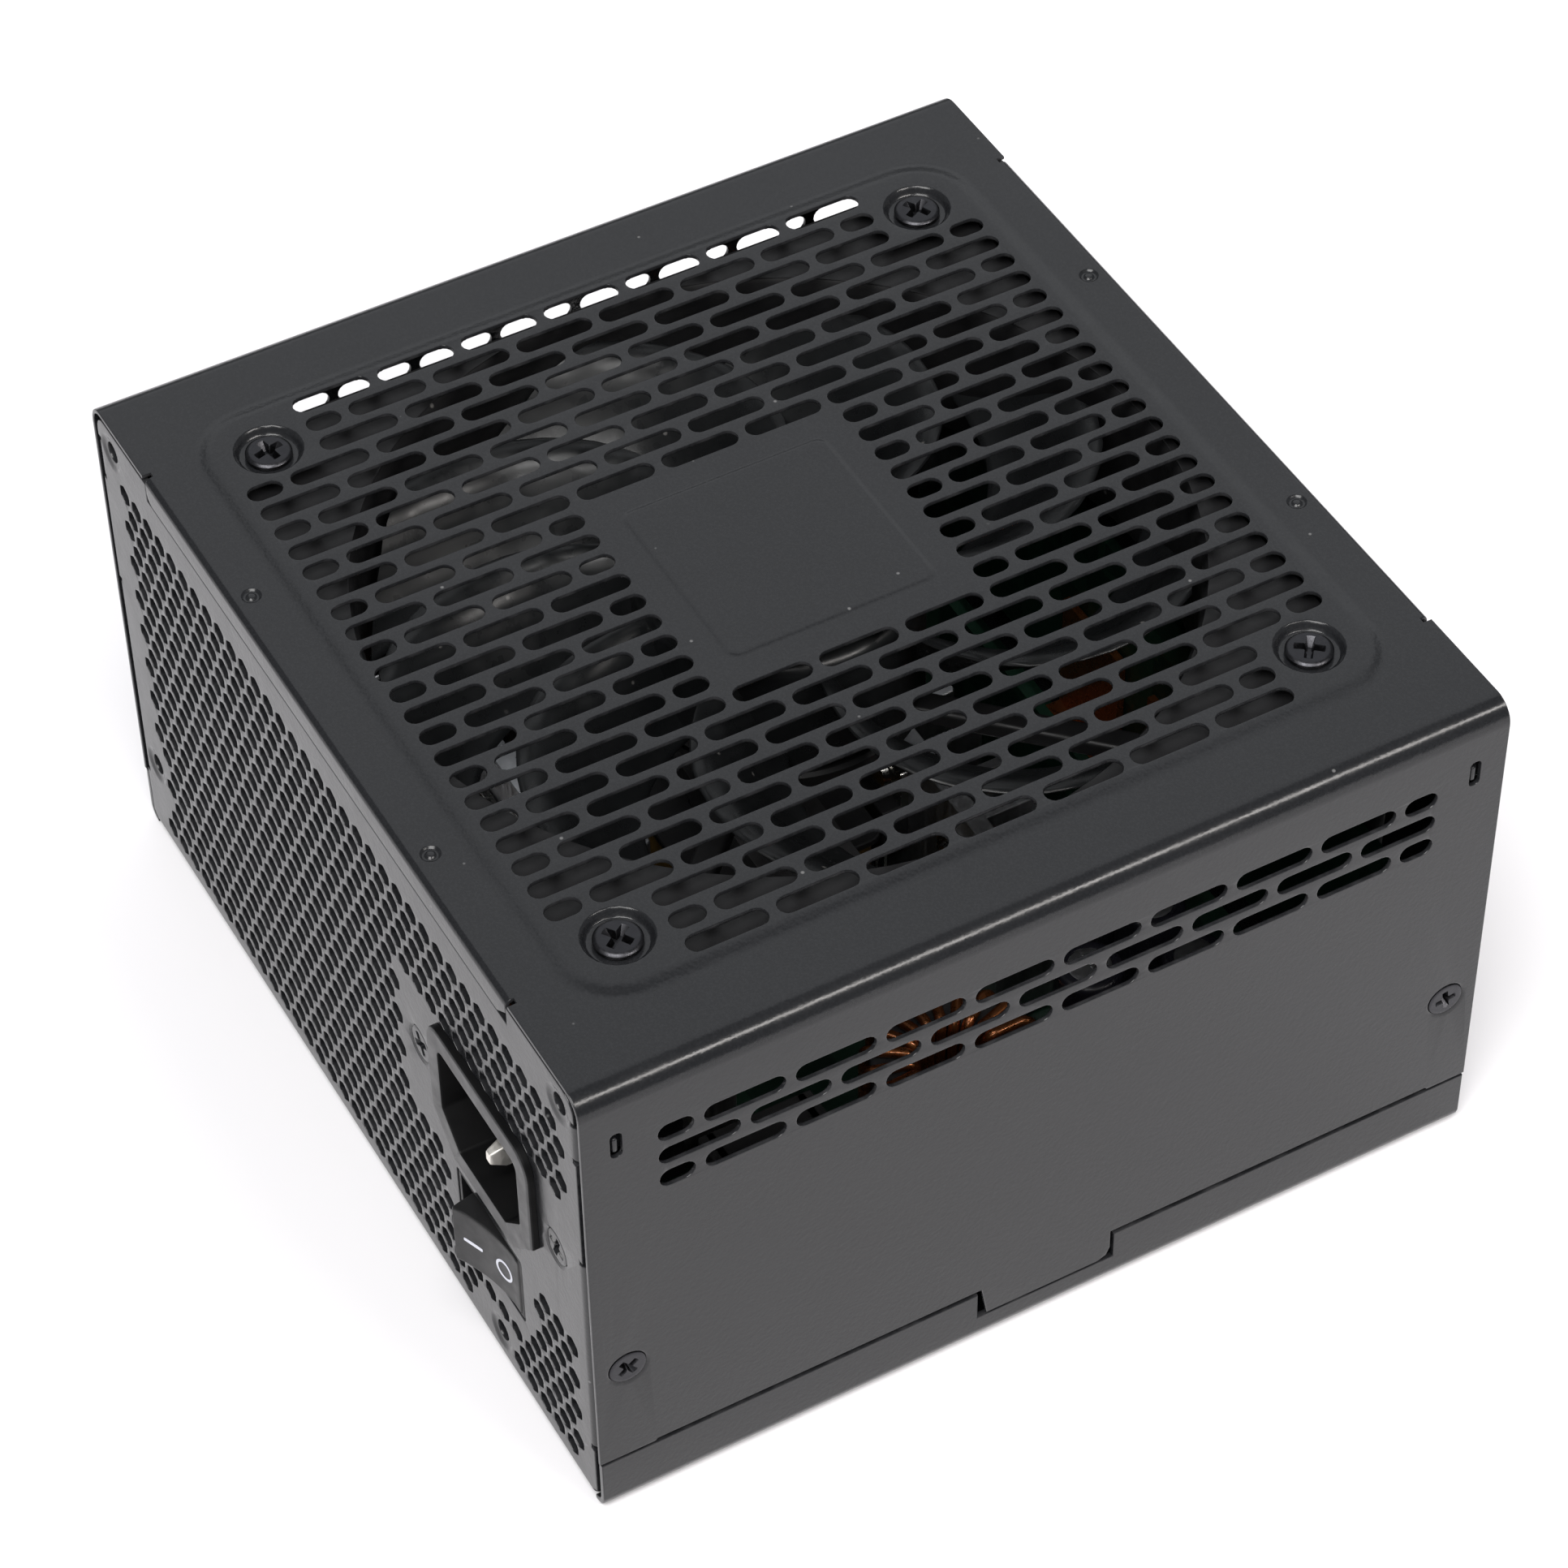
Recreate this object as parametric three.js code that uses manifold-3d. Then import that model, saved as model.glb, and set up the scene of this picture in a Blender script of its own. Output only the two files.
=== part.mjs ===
// Desktop power supply unit in the ATX format, fan on top.
// Origin: centre of the underside. +Z up, -Y the mains panel, +Y the cable side. Millimetres.

import * as THREE from 'three';
import { mergeVertices } from 'three/addons/utils/BufferGeometryUtils.js';
import Module from 'manifold-3d';

const wasm = await Module();
wasm.setup();

// ---------------------------------------------------------------- driving dimensions

const GAP = 0.3; // clearance between neighbouring pieces
const SHEET = 1; // steel sheet of the case
const CASE = { halfX: 75, halfY: 70, height: 86 };

const COVER = { plateTop: 85.5, bendR: 3.5, skirtZ: 10.4, tabZ: 5.4, tabHalf: 10.5 };
const PANEL = { half: 61.5, cornerR: 8.5, rise: 0.5 }; // raised square round the fan
const LIP = { x0: -56, x1: 55, z0: 81.3, reliefW: 1.6, reliefDepth: 2.4 };
const SLOT = { width: 3, length: 11.8, web: 1.5, reach: 59.1, shortReach: 45.8, centreHalf: 20.7 };
const SLOT_COLUMN = { pitch: 4.5, last: 13, shortFrom: 11, centreTo: 4 };
const SIDE_ROWS = [{ z: 73.5, odd: false }, { z: 69, odd: true }, { z: 64.5, odd: false }];
const LANCE = { y: 65, z: 75.2, width: 1.3, length: 4.5 };
const SIDE_SCREW = { y: 65, z: 29, headR: 2.5, shankR: 1.45, length: 5 };

const TRAY = { wallX: 73.7, wallTop: 84.2, cornerCut: 2.6, flangeTop: 10, bendR: 2.5, wallBendR: 2 };
const RETURN = { x0: 72.6, x1: 73.6, depth: 12, z0: 12, z1: 80.5 };
const ATX_HOLES = [[-69, 80], [69, 80], [45, 6], [-69, 16]]; // x, z on the mains panel
const ATX_HOLE = { r: 1.6, collarR: 2.6, collarDepth: 3.5 };
const HONEYCOMB = { pitch: 10, hole: 8.2, x0: -60, x1: 66, z0: 12.5, rows: 8 };

const FAN = { half: 60, holeAt: 52.5, top: 83.4, depth: 25, boreR: 58.2, flange: 4, holeR: 2.3 };
const HUB = { r: 20.5, top: 82.4, bottom: 63, skin: 2 };
const BLADE = { count: 9, tipR: 57, z0: 64.5, z1: 81.5, thick: 1.6, span: 0.5, sweep: 0.55 };
const SHAFT = { r: 1.5, z0: 62.5, z1: 79.7 };
const BEARING = { innerR: 1.7, outerR: 3.2, tubeR: 4.9, top: 76 };
const STATOR = { innerR: 5.3, outerR: 17.6, coreR: 9, z0: 64.4, z1: 74 };
const FAN_SCREW = { headR: 3.4, headTop: 86, shankR: 1.9, length: 18 };
const DIMPLE = { r: 4.7, floor: 84.7 };

const INLET = {
  x: 45.4, z: 47.2, rimW: 29.7, rimH: 23.9, cornerR: 4, chamfer: 6, proud: 1.75,
  openW: 24.4, openH: 17.5, openChamfer: 5, floorY: -56, backY: -48,
  earW: 50, earH: 20, earDepth: 3, screwPitch: 40, bodyW: 27.4, bodyH: 20,
};
const PIN = { thick: 2, tall: 4, pitch: 7, lineZ: 49, earthZ: 44.3, lineTip: -66.5, earthTip: -69.5, back: -44 };
const INLET_SCREW = { headR: 2.9, shankR: 1.4, length: 6 };

const SWITCH = { x: 43.95, z: 24.2, halfX: 9.5, halfZ: 6.35, innerX: 9.2, innerZ: 5.9, frontY: -69.9, backY: -50 };
const SWITCH_CUT = { halfX: 9.65, halfZ: 6.5 };
const ROCKER = { pivotY: -63.5, reach: 8.6, halfX: 6.9, halfZ: 5.6, dish: 0.8, tilt: 15, trunnionR: 1.4 };

const BOARD = { x: 68, y0: -64, y1: 58, z0: 7.2, thick: 1.6, screwX: 62, screwY: 52 };
const PART_Z = BOARD.z0 + BOARD.thick + GAP; // underside of every part on the main board
const BOSS = { r: 3, top: 6.9, boreR: 1.7, boreZ: 2.2 };
const MODULAR = { halfX: 64, y: 60, thick: 1.6, z0: 12, z1: 50, pitch: 4.2, wall: 0.9, cell: 3.3, cellDepth: 7 };
const SOCKET_FRONT = 70.5; // sockets stand half a millimetre proud of the cable side
const SOCKETS = [
  { name: 'modular_socket_motherboard', x: -32, z: 40, columns: 12 },
  { name: 'modular_socket_processor_1', x: 14, z: 40, columns: 4 },
  { name: 'modular_socket_processor_2', x: 42, z: 40, columns: 4 },
  { name: 'modular_socket_graphics_1', x: -46, z: 21, columns: 4 },
  { name: 'modular_socket_graphics_2', x: -18, z: 21, columns: 4 },
  { name: 'modular_socket_drives', x: 12, z: 21, columns: 5 },
];

// ---------------------------------------------------------------- materials

const paint = { color: 0x45464a, roughness: 0.55, metalness: 0.3 };
const blackPlastic = { color: 0x121214, roughness: 0.45, metalness: 0 };
const greyPlastic = { color: 0x4a4a4c, roughness: 0.5, metalness: 0 };
const blackSteel = { color: 0x1b1b1d, roughness: 0.4, metalness: 0.8 };
const steel = { color: 0x9a9a9c, roughness: 0.3, metalness: 0.9 };
const aluminium = { color: 0xb0b2b6, roughness: 0.4, metalness: 0.8 };
const copper = { color: 0xb4623a, roughness: 0.35, metalness: 0.9 };
const brass = { color: 0xb5a067, roughness: 0.35, metalness: 0.9 };
const ferrite = { color: 0x2a2a2c, roughness: 0.7, metalness: 0.1 };
const yellowCoat = { color: 0xcfae2c, roughness: 0.6, metalness: 0 };
const greenBoard = { color: 0x1d4d33, roughness: 0.6, metalness: 0 };
const blackSleeve = { color: 0x18181c, roughness: 0.35, metalness: 0.1 };
const clearSheet = { color: 0x2b2d30, roughness: 0.5, metalness: 0 };

// ---------------------------------------------------------------- solids

const X_AXIS = new THREE.Vector3(1, 0, 0);
const Y_AXIS = new THREE.Vector3(0, 1, 0);
const Z_AXIS = new THREE.Vector3(0, 0, 1);

// A closed solid from a three.js geometry: shared vertices merged, collapsed triangles dropped.
function solid(geometry) {
  const bare = geometry.index ? geometry.toNonIndexed() : geometry.clone();
  bare.deleteAttribute('normal');
  bare.deleteAttribute('uv');
  const merged = mergeVertices(bare);
  const index = merged.index.array;
  const triangles = [];
  for (let i = 0; i < index.length; i += 3) {
    const [a, b, c] = [index[i], index[i + 1], index[i + 2]];
    if (a !== b && b !== c && c !== a) triangles.push(a, b, c);
  }
  return new wasm.Manifold(new wasm.Mesh({
    numProp: 3,
    vertProperties: new Float32Array(merged.attributes.position.array),
    triVerts: new Uint32Array(triangles),
  }));
}

function box(x0, x1, y0, y1, z0, z1) {
  const geometry = new THREE.BoxGeometry(x1 - x0, y1 - y0, z1 - z0);
  geometry.translate((x0 + x1) / 2, (y0 + y1) / 2, (z0 + z1) / 2);
  return solid(geometry);
}

function extrude(shapes, depth, segments) {
  return new THREE.ExtrudeGeometry(shapes, { depth, bevelEnabled: false, steps: 1, curveSegments: segments });
}

// Shapes drawn in x, y and extruded from z0 to z1.
function prismZ(shapes, z0, z1, segments = 4) {
  const geometry = extrude(shapes, z1 - z0, segments);
  geometry.translate(0, 0, z0);
  return solid(geometry);
}

// Shapes drawn in x, z and extruded from y0 to y1.
function prismY(shapes, y0, y1, segments = 4) {
  const geometry = extrude(shapes, y1 - y0, segments);
  geometry.rotateX(Math.PI / 2);
  geometry.translate(0, y1, 0);
  return solid(geometry);
}

// Shapes drawn in y, z and extruded from x0 to x1.
function prismX(shapes, x0, x1, segments = 4) {
  const geometry = extrude(shapes, x1 - x0, segments);
  geometry.applyMatrix4(new THREE.Matrix4().makeBasis(Y_AXIS, Z_AXIS, X_AXIS));
  geometry.translate(x0, 0, 0);
  return solid(geometry);
}

// A profile of [radius, height] points turned round an axis through `at`.
function turned(profile, segments, at = [0, 0, 0], axis = Z_AXIS) {
  const points = profile.map(([r, h]) => new THREE.Vector2(r, h));
  const geometry = new THREE.LatheGeometry(points, segments);
  geometry.applyQuaternion(new THREE.Quaternion().setFromUnitVectors(Y_AXIS, axis));
  geometry.translate(...at);
  return solid(geometry);
}

function disc(r, h0, h1, segments, at, axis) {
  return turned([[0, h0], [r, h0], [r, h1], [0, h1]], segments, at, axis);
}

function ring(innerR, outerR, h0, h1, segments, at, axis) {
  const profile = [[innerR, h0], [outerR, h0], [outerR, h1], [innerR, h1], [innerR, h0]];
  return turned(profile, segments, at, axis);
}

function polygon(points) {
  return new THREE.Shape(points.map(([a, b]) => new THREE.Vector2(a, b)));
}

function rectangle(x, y, width, height) {
  const [w, h] = [width / 2, height / 2];
  return polygon([[x - w, y - h], [x + w, y - h], [x + w, y + h], [x - w, y + h]]);
}

function roundedSquare(half, r) {
  const shape = new THREE.Shape();
  const c = half - r;
  shape.absarc(c, c, r, 0, Math.PI / 2, false);
  shape.absarc(-c, c, r, Math.PI / 2, Math.PI, false);
  shape.absarc(-c, -c, r, Math.PI, Math.PI * 1.5, false);
  shape.absarc(c, -c, r, Math.PI * 1.5, Math.PI * 2, false);
  return shape;
}

function hexagon(x, z, acrossFlats) {
  const r = acrossFlats / Math.sqrt(3);
  const corners = [];
  for (let i = 0; i < 6; i++) {
    const angle = Math.PI * (i / 3 + 1 / 6);
    corners.push([x + r * Math.cos(angle), z + r * Math.sin(angle)]);
  }
  return polygon(corners);
}

function joined(solids) {
  return solids.reduce((whole, piece) => whole.add(piece));
}

// ---------------------------------------------------------------- assembly

const group = new THREE.Group();

function place(name, body, material) {
  const mesh = body.getMesh();
  const geometry = new THREE.BufferGeometry();
  geometry.setAttribute('position', new THREE.BufferAttribute(new Float32Array(mesh.vertProperties), 3));
  geometry.setIndex(new THREE.BufferAttribute(new Uint32Array(mesh.triVerts), 1));
  geometry.computeVertexNormals();
  const node = new THREE.Mesh(geometry, new THREE.MeshStandardMaterial(material));
  node.name = name;
  group.add(node);
}

// ---------------------------------------------------------------- vent slots

// Stretches of slot along y in one row; rows of the two kinds are staggered by half a step.
function slotStretches(odd, reach, windows) {
  const step = SLOT.length + SLOT.web;
  const stretches = [];
  for (const [low, high] of windows) {
    for (let n = -5; n <= 5; n++) {
      const centre = step * (odd ? n : n + 0.5);
      const y0 = Math.max(centre - SLOT.length / 2, low, -reach);
      const y1 = Math.min(centre + SLOT.length / 2, high, reach);
      if (y1 - y0 > SLOT.width) stretches.push([y0, y1]);
    }
  }
  return stretches;
}

// Neighbouring slots taken three at a time as one long opening.
function longStretches(stretches) {
  const long = [];
  for (const [y0, y1] of stretches) {
    const last = long[long.length - 1];
    const follows = last && last.count < 3 && y0 - last.y1 < SLOT.web + 0.01;
    if (follows) {
      last.y1 = y1;
      last.count += 1;
    } else {
      long.push({ y0, y1, count: 1 });
    }
  }
  return long;
}

function topSlotShapes() {
  const shapes = [];
  for (let k = -SLOT_COLUMN.last; k <= SLOT_COLUMN.last; k++) {
    const reach = Math.abs(k) >= SLOT_COLUMN.shortFrom ? SLOT.shortReach : SLOT.reach;
    const centre = SLOT.centreHalf;
    const windows = Math.abs(k) <= SLOT_COLUMN.centreTo ? [[-reach, -centre], [centre, reach]] : [[-reach, reach]];
    for (const { y0, y1 } of longStretches(slotStretches(k % 2 !== 0, reach, windows))) {
      shapes.push(rectangle(k * SLOT_COLUMN.pitch, (y0 + y1) / 2, SLOT.width, y1 - y0));
    }
  }
  return shapes;
}

function sideSlotShapes() {
  const shapes = [];
  for (const row of SIDE_ROWS) {
    const windows = [[-SLOT.reach, SLOT.reach]];
    for (const { y0, y1 } of longStretches(slotStretches(row.odd, SLOT.reach, windows))) {
      shapes.push(rectangle((y0 + y1) / 2, row.z, y1 - y0, SLOT.width));
    }
  }
  for (const side of [-1, 1]) shapes.push(rectangle(side * LANCE.y, LANCE.z, LANCE.width, LANCE.length));
  return shapes;
}

// ---------------------------------------------------------------- case

function coverProfile() {
  const { plateTop, bendR, skirtZ } = COVER;
  const shape = new THREE.Shape();
  const cx = CASE.halfX - bendR;
  const cz = plateTop - bendR;
  shape.moveTo(CASE.halfX, skirtZ);
  shape.absarc(cx, cz, bendR, 0, Math.PI / 2, false);
  shape.absarc(-cx, cz, bendR, Math.PI / 2, Math.PI, false);
  shape.lineTo(-CASE.halfX, skirtZ);
  shape.lineTo(-CASE.halfX + SHEET, skirtZ);
  shape.absarc(-cx, cz, bendR - SHEET, Math.PI, Math.PI / 2, true);
  shape.absarc(cx, cz, bendR - SHEET, Math.PI / 2, 0, true);
  shape.lineTo(CASE.halfX - SHEET, skirtZ);
  return shape;
}

function coverLip(side) {
  const y0 = side > 0 ? CASE.halfY - SHEET : -CASE.halfY;
  return box(LIP.x0, LIP.x1, y0, y0 + SHEET, LIP.z0, COVER.plateTop - SHEET / 2);
}

function coverReliefs(side) {
  const y = side * (CASE.halfY - LIP.reliefDepth / 2);
  const notch = (x) => rectangle(x, y, LIP.reliefW, LIP.reliefDepth + 0.02);
  return prismZ([notch(LIP.x0 - LIP.reliefW / 2), notch(LIP.x1 + LIP.reliefW / 2)], 80, 90);
}

function buildCover() {
  const top = COVER.plateTop + PANEL.rise;
  const underside = COVER.plateTop - SHEET;
  let cover = prismY(coverProfile(), -CASE.halfY, CASE.halfY);
  cover = cover.add(prismZ(roundedSquare(PANEL.half, PANEL.cornerR), COVER.plateTop - SHEET / 2, top));
  const inner = roundedSquare(PANEL.half - SHEET, PANEL.cornerR - SHEET);
  cover = cover.subtract(prismZ(inner, underside - 1, underside + PANEL.rise));
  for (const side of [-1, 1]) {
    cover = cover.add(coverLip(side)).subtract(coverReliefs(side));
    const x0 = side > 0 ? CASE.halfX - SHEET : -CASE.halfX;
    cover = cover.add(box(x0, x0 + SHEET, -COVER.tabHalf, COVER.tabHalf, COVER.tabZ, COVER.skirtZ + 1));
  }
  cover = cover.subtract(prismZ(topSlotShapes(), 80, 90));
  cover = cover.subtract(prismX(sideSlotShapes(), -80, 80));
  for (const [x, y] of corners(FAN.holeAt, FAN.holeAt)) {
    cover = cover.add(disc(DIMPLE.r + SHEET / 2, DIMPLE.floor - SHEET, COVER.plateTop, 16, [x, y, 0]));
    cover = cover.subtract(disc(DIMPLE.r, DIMPLE.floor, top + 1, 16, [x, y, 0]));
    cover = cover.subtract(disc(FAN.holeR, 80, 90, 10, [x, y, 0]));
  }
  for (const side of [-1, 1]) {
    for (const y of [-SIDE_SCREW.y, SIDE_SCREW.y]) {
      const axis = X_AXIS.clone().multiplyScalar(side);
      cover = cover.subtract(countersink(SIDE_SCREW, [side * CASE.halfX, y, SIDE_SCREW.z], axis));
    }
  }
  place('cover', cover, paint);
}

function corners(x, y) {
  return [[-x, -y], [x, -y], [x, y], [-x, y]];
}

// The hole that a countersunk screw needs in a sheet, GAP larger than the screw.
function countersink(screw, at, axis) {
  const [head, shank] = [screw.headR + GAP, screw.shankR + GAP];
  return turned([[0, -4], [shank, -4], [shank, -SHEET], [head, 0], [head, 1], [0, 1]], 12, at, axis);
}

function flangeProfile(side) {
  const { bendR, flangeTop } = TRAY;
  const cx = CASE.halfX - bendR;
  const shape = new THREE.Shape();
  if (side > 0) {
    shape.moveTo(cx - 3, 0);
    shape.absarc(cx, bendR, bendR, -Math.PI / 2, 0, false);
    shape.lineTo(CASE.halfX, flangeTop);
    shape.lineTo(CASE.halfX - SHEET, flangeTop);
    shape.absarc(cx, bendR, bendR - SHEET, 0, -Math.PI / 2, true);
    shape.lineTo(cx - 3, SHEET);
    return shape;
  }
  shape.moveTo(-cx + 3, SHEET);
  shape.absarc(-cx, bendR, bendR - SHEET, -Math.PI / 2, -Math.PI, true);
  shape.lineTo(-CASE.halfX + SHEET, flangeTop);
  shape.lineTo(-CASE.halfX, flangeTop);
  shape.absarc(-cx, bendR, bendR, Math.PI, Math.PI * 1.5, false);
  shape.lineTo(-cx + 3, 0);
  return shape;
}

// Mains panel, floor and cable-side wall in one folded strip, drawn in y, z.
function trayProfile() {
  const { wallTop, wallBendR: r } = TRAY;
  const cy = CASE.halfY - r;
  const shape = new THREE.Shape();
  shape.moveTo(CASE.halfY, wallTop);
  shape.lineTo(CASE.halfY - SHEET, wallTop);
  shape.absarc(cy, r, r - SHEET, 0, -Math.PI / 2, true);
  shape.absarc(-cy, r, r - SHEET, -Math.PI / 2, -Math.PI, true);
  shape.lineTo(-CASE.halfY + SHEET, wallTop);
  shape.lineTo(-CASE.halfY, wallTop);
  shape.absarc(-cy, r, r, Math.PI, Math.PI * 1.5, false);
  shape.absarc(cy, r, r, -Math.PI / 2, 0, false);
  return shape;
}

function honeycombShapes() {
  const { pitch, hole, x0, x1, z0, rows } = HONEYCOMB;
  const shapes = [];
  for (let i = 0; i < rows; i++) {
    const z = z0 + i * pitch * Math.sqrt(0.75);
    for (let x = x0 + (i % 2) * (pitch / 2); x <= x1; x += pitch) {
      const nearInlet = x > 14 && z > 33 && z < 60;
      const nearSwitch = x > 28 && x < 60 && z < 33;
      if (!nearInlet && !nearSwitch) shapes.push(hexagon(x, z, hole));
    }
  }
  return shapes;
}

// Outline of the inlet in x, z: round top corners, cut-off bottom corners.
function inletOutline(width, height, r, chamfer, grow = 0) {
  const [w, h] = [width / 2 + grow, height / 2 + grow];
  const { x, z } = INLET;
  const shape = new THREE.Shape();
  shape.moveTo(x - w + chamfer, z - h);
  shape.lineTo(x + w - chamfer, z - h);
  shape.lineTo(x + w, z - h + chamfer);
  shape.absarc(x + w - r, z + h - r, r, 0, Math.PI / 2, false);
  shape.absarc(x - w + r, z + h - r, r, Math.PI / 2, Math.PI, false);
  shape.lineTo(x - w, z - h + chamfer);
  return shape;
}

function socketSize(columns) {
  return { width: columns * MODULAR.pitch + 2 * MODULAR.wall, height: 2 * MODULAR.pitch + 2 * MODULAR.wall };
}

function mainsPanelCuts() {
  const y0 = -CASE.halfY - 1;
  const y1 = -CASE.halfY + SHEET + 1;
  let cuts = prismY(honeycombShapes(), y0, y1);
  cuts = cuts.add(prismY(inletOutline(INLET.rimW, INLET.rimH, INLET.cornerR, INLET.chamfer, GAP), y0, y1));
  cuts = cuts.add(prismY(rectangle(SWITCH.x, SWITCH.z, 2 * SWITCH_CUT.halfX, 2 * SWITCH_CUT.halfZ), y0, y1));
  for (const side of [-1, 1]) {
    const at = [INLET.x + (side * INLET.screwPitch) / 2, -CASE.halfY, INLET.z];
    cuts = cuts.add(countersink(INLET_SCREW, at, Y_AXIS.clone().negate()));
  }
  return cuts;
}

function cableSideCuts() {
  const shapes = SOCKETS.map(({ x, z, columns }) => {
    const { width, height } = socketSize(columns);
    return rectangle(x, z, width + 2 * GAP, height + 2 * GAP);
  });
  return prismY(shapes, CASE.halfY - SHEET - 1, CASE.halfY + 1);
}

// Flaps folded in behind the cover's sides, which the side screws hold on to.
function trayReturns() {
  const flaps = [];
  for (const side of [-1, 1]) {
    const [a, b] = [side * RETURN.x0, side * RETURN.x1].sort((p, q) => p - q);
    const wall = CASE.halfY - SHEET / 2;
    flaps.push(box(a, b, -wall, -wall + RETURN.depth, RETURN.z0, RETURN.z1));
    flaps.push(box(a, b, wall - RETURN.depth, wall, RETURN.z0, RETURN.z1));
  }
  return joined(flaps);
}

// The sliver cut off each upper wall corner so that it clears the bend of the cover.
function wallCorner(side) {
  const { wallX, wallTop, cornerCut } = TRAY;
  const corner = [[wallX - cornerCut, wallTop], [wallX, wallTop - cornerCut], [wallX + 1, wallTop + 1]];
  if (side > 0) return prismY(polygon(corner), -80, 80);
  return prismY(polygon(corner.map(([x, z]) => [-x, z]).reverse()), -80, 80);
}

function buildTray() {
  let tray = prismX(trayProfile(), -TRAY.wallX, TRAY.wallX);
  const flangeEnd = CASE.halfY - 0.2;
  tray = tray.add(prismY(flangeProfile(1), -flangeEnd, flangeEnd));
  tray = tray.add(prismY(flangeProfile(-1), -flangeEnd, flangeEnd));
  const notch = rectangle(0, (COVER.tabZ + 11) / 2 - GAP, 2 * COVER.tabHalf + 1, 11 - COVER.tabZ);
  tray = tray.subtract(prismX(notch, -80, 80));
  for (const side of [-1, 1]) tray = tray.subtract(wallCorner(side));
  const lipSpace = [LIP.x0 - GAP, LIP.x1 + GAP];
  tray = tray.subtract(box(...lipSpace, -80, 80, LIP.z0 - GAP, 90));
  tray = tray.add(trayReturns());
  const screwHoles = [-1, 1].map((side) => rectangle(side * SIDE_SCREW.y, SIDE_SCREW.z, 3.6, 3.6));
  tray = tray.subtract(prismX(screwHoles, -80, 80));
  for (const [x, z] of ATX_HOLES) {
    const inward = CASE.halfY - SHEET / 2;
    tray = tray.add(disc(ATX_HOLE.collarR, 0, ATX_HOLE.collarDepth, 12, [x, -inward, z], Y_AXIS));
    tray = tray.subtract(disc(ATX_HOLE.r, -2, 6, 12, [x, -inward, z], Y_AXIS));
  }
  for (const [x, y] of corners(BOARD.screwX, BOARD.screwY)) {
    tray = tray.add(disc(BOSS.r, SHEET / 2, BOSS.top, 12, [x, y, 0]));
    tray = tray.subtract(disc(BOSS.boreR, BOSS.boreZ, BOSS.top + 1, 8, [x, y, 0]));
  }
  tray = tray.subtract(mainsPanelCuts()).subtract(cableSideCuts());
  place('tray', tray, paint);
}

// ---------------------------------------------------------------- screws

// Countersunk screw: its face at the origin of the axis, its shank behind it.
function countersunkScrew(name, screw, at, axis, material) {
  const profile = [[0, -screw.length], [screw.shankR, -screw.length], [screw.shankR, -SHEET], [screw.headR, 0], [0, 0]];
  place(name, turned(profile, 12, at, axis), material);
}

function panScrew(name, headR, headHeight, shankR, length, at, material) {
  const profile = [
    [0, -length - headHeight], [shankR, -length - headHeight], [shankR, -headHeight],
    [headR, -headHeight], [headR, -headHeight / 3], [headR * 0.7, 0], [0, 0],
  ];
  place(name, turned(profile, 12, at), material);
}

function buildScrews() {
  let number = 1;
  for (const side of [-1, 1]) {
    for (const y of [-SIDE_SCREW.y, SIDE_SCREW.y]) {
      const at = [side * CASE.halfX, y, SIDE_SCREW.z];
      countersunkScrew(`cover_screw_${number}`, SIDE_SCREW, at, X_AXIS.clone().multiplyScalar(side), blackSteel);
      number += 1;
    }
  }
  [-1, 1].forEach((side, i) => {
    const at = [INLET.x + (side * INLET.screwPitch) / 2, -CASE.halfY, INLET.z];
    countersunkScrew(`inlet_screw_${i + 1}`, INLET_SCREW, at, Y_AXIS.clone().negate(), steel);
  });
  corners(FAN.holeAt, FAN.holeAt).forEach(([x, y], i) => {
    const headHeight = FAN_SCREW.headTop - DIMPLE.floor - 0.1;
    const { headR, shankR, length, headTop } = FAN_SCREW;
    panScrew(`fan_screw_${i + 1}`, headR, headHeight, shankR, length, [x, y, headTop], blackSteel);
  });
  corners(BOARD.screwX, BOARD.screwY).forEach(([x, y], i) => {
    panScrew(`board_screw_${i + 1}`, 2.7, 1.7, 1.3, 6, [x, y, PART_Z + 1.7], steel);
  });
}

// ---------------------------------------------------------------- fan

function buildFanFrame() {
  const bottom = FAN.top - FAN.depth;
  const flangeShape = roundedSquare(FAN.half, 4);
  let frame = prismZ(flangeShape, bottom, bottom + FAN.flange, 3);
  frame = frame.add(prismZ(flangeShape, FAN.top - FAN.flange, FAN.top, 3));
  frame = frame.add(disc(FAN.half - 0.1, bottom, FAN.top, 48));
  frame = frame.subtract(disc(FAN.boreR, bottom - 1, FAN.top + 1, 48));
  for (const [x, y] of corners(FAN.holeAt, FAN.holeAt)) {
    frame = frame.subtract(disc(FAN.holeR, bottom - 1, FAN.top + 1, 10, [x, y, 0]));
  }
  const strutTop = bottom + 3;
  frame = frame.add(disc(HUB.r, bottom, strutTop, 24));
  for (const [ux, uy] of corners(Math.SQRT1_2, Math.SQRT1_2)) {
    const strut = new THREE.BoxGeometry(FAN.half - HUB.r, 4, 3);
    strut.translate((FAN.half + HUB.r) / 2 - 1, 0, bottom + 1.5);
    strut.rotateZ(Math.atan2(uy, ux));
    frame = frame.add(solid(strut));
  }
  const tube = ring(BEARING.outerR + GAP, BEARING.tubeR, strutTop - 1, BEARING.top, 16);
  place('fan_frame', frame.add(tube), blackPlastic);
}

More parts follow.
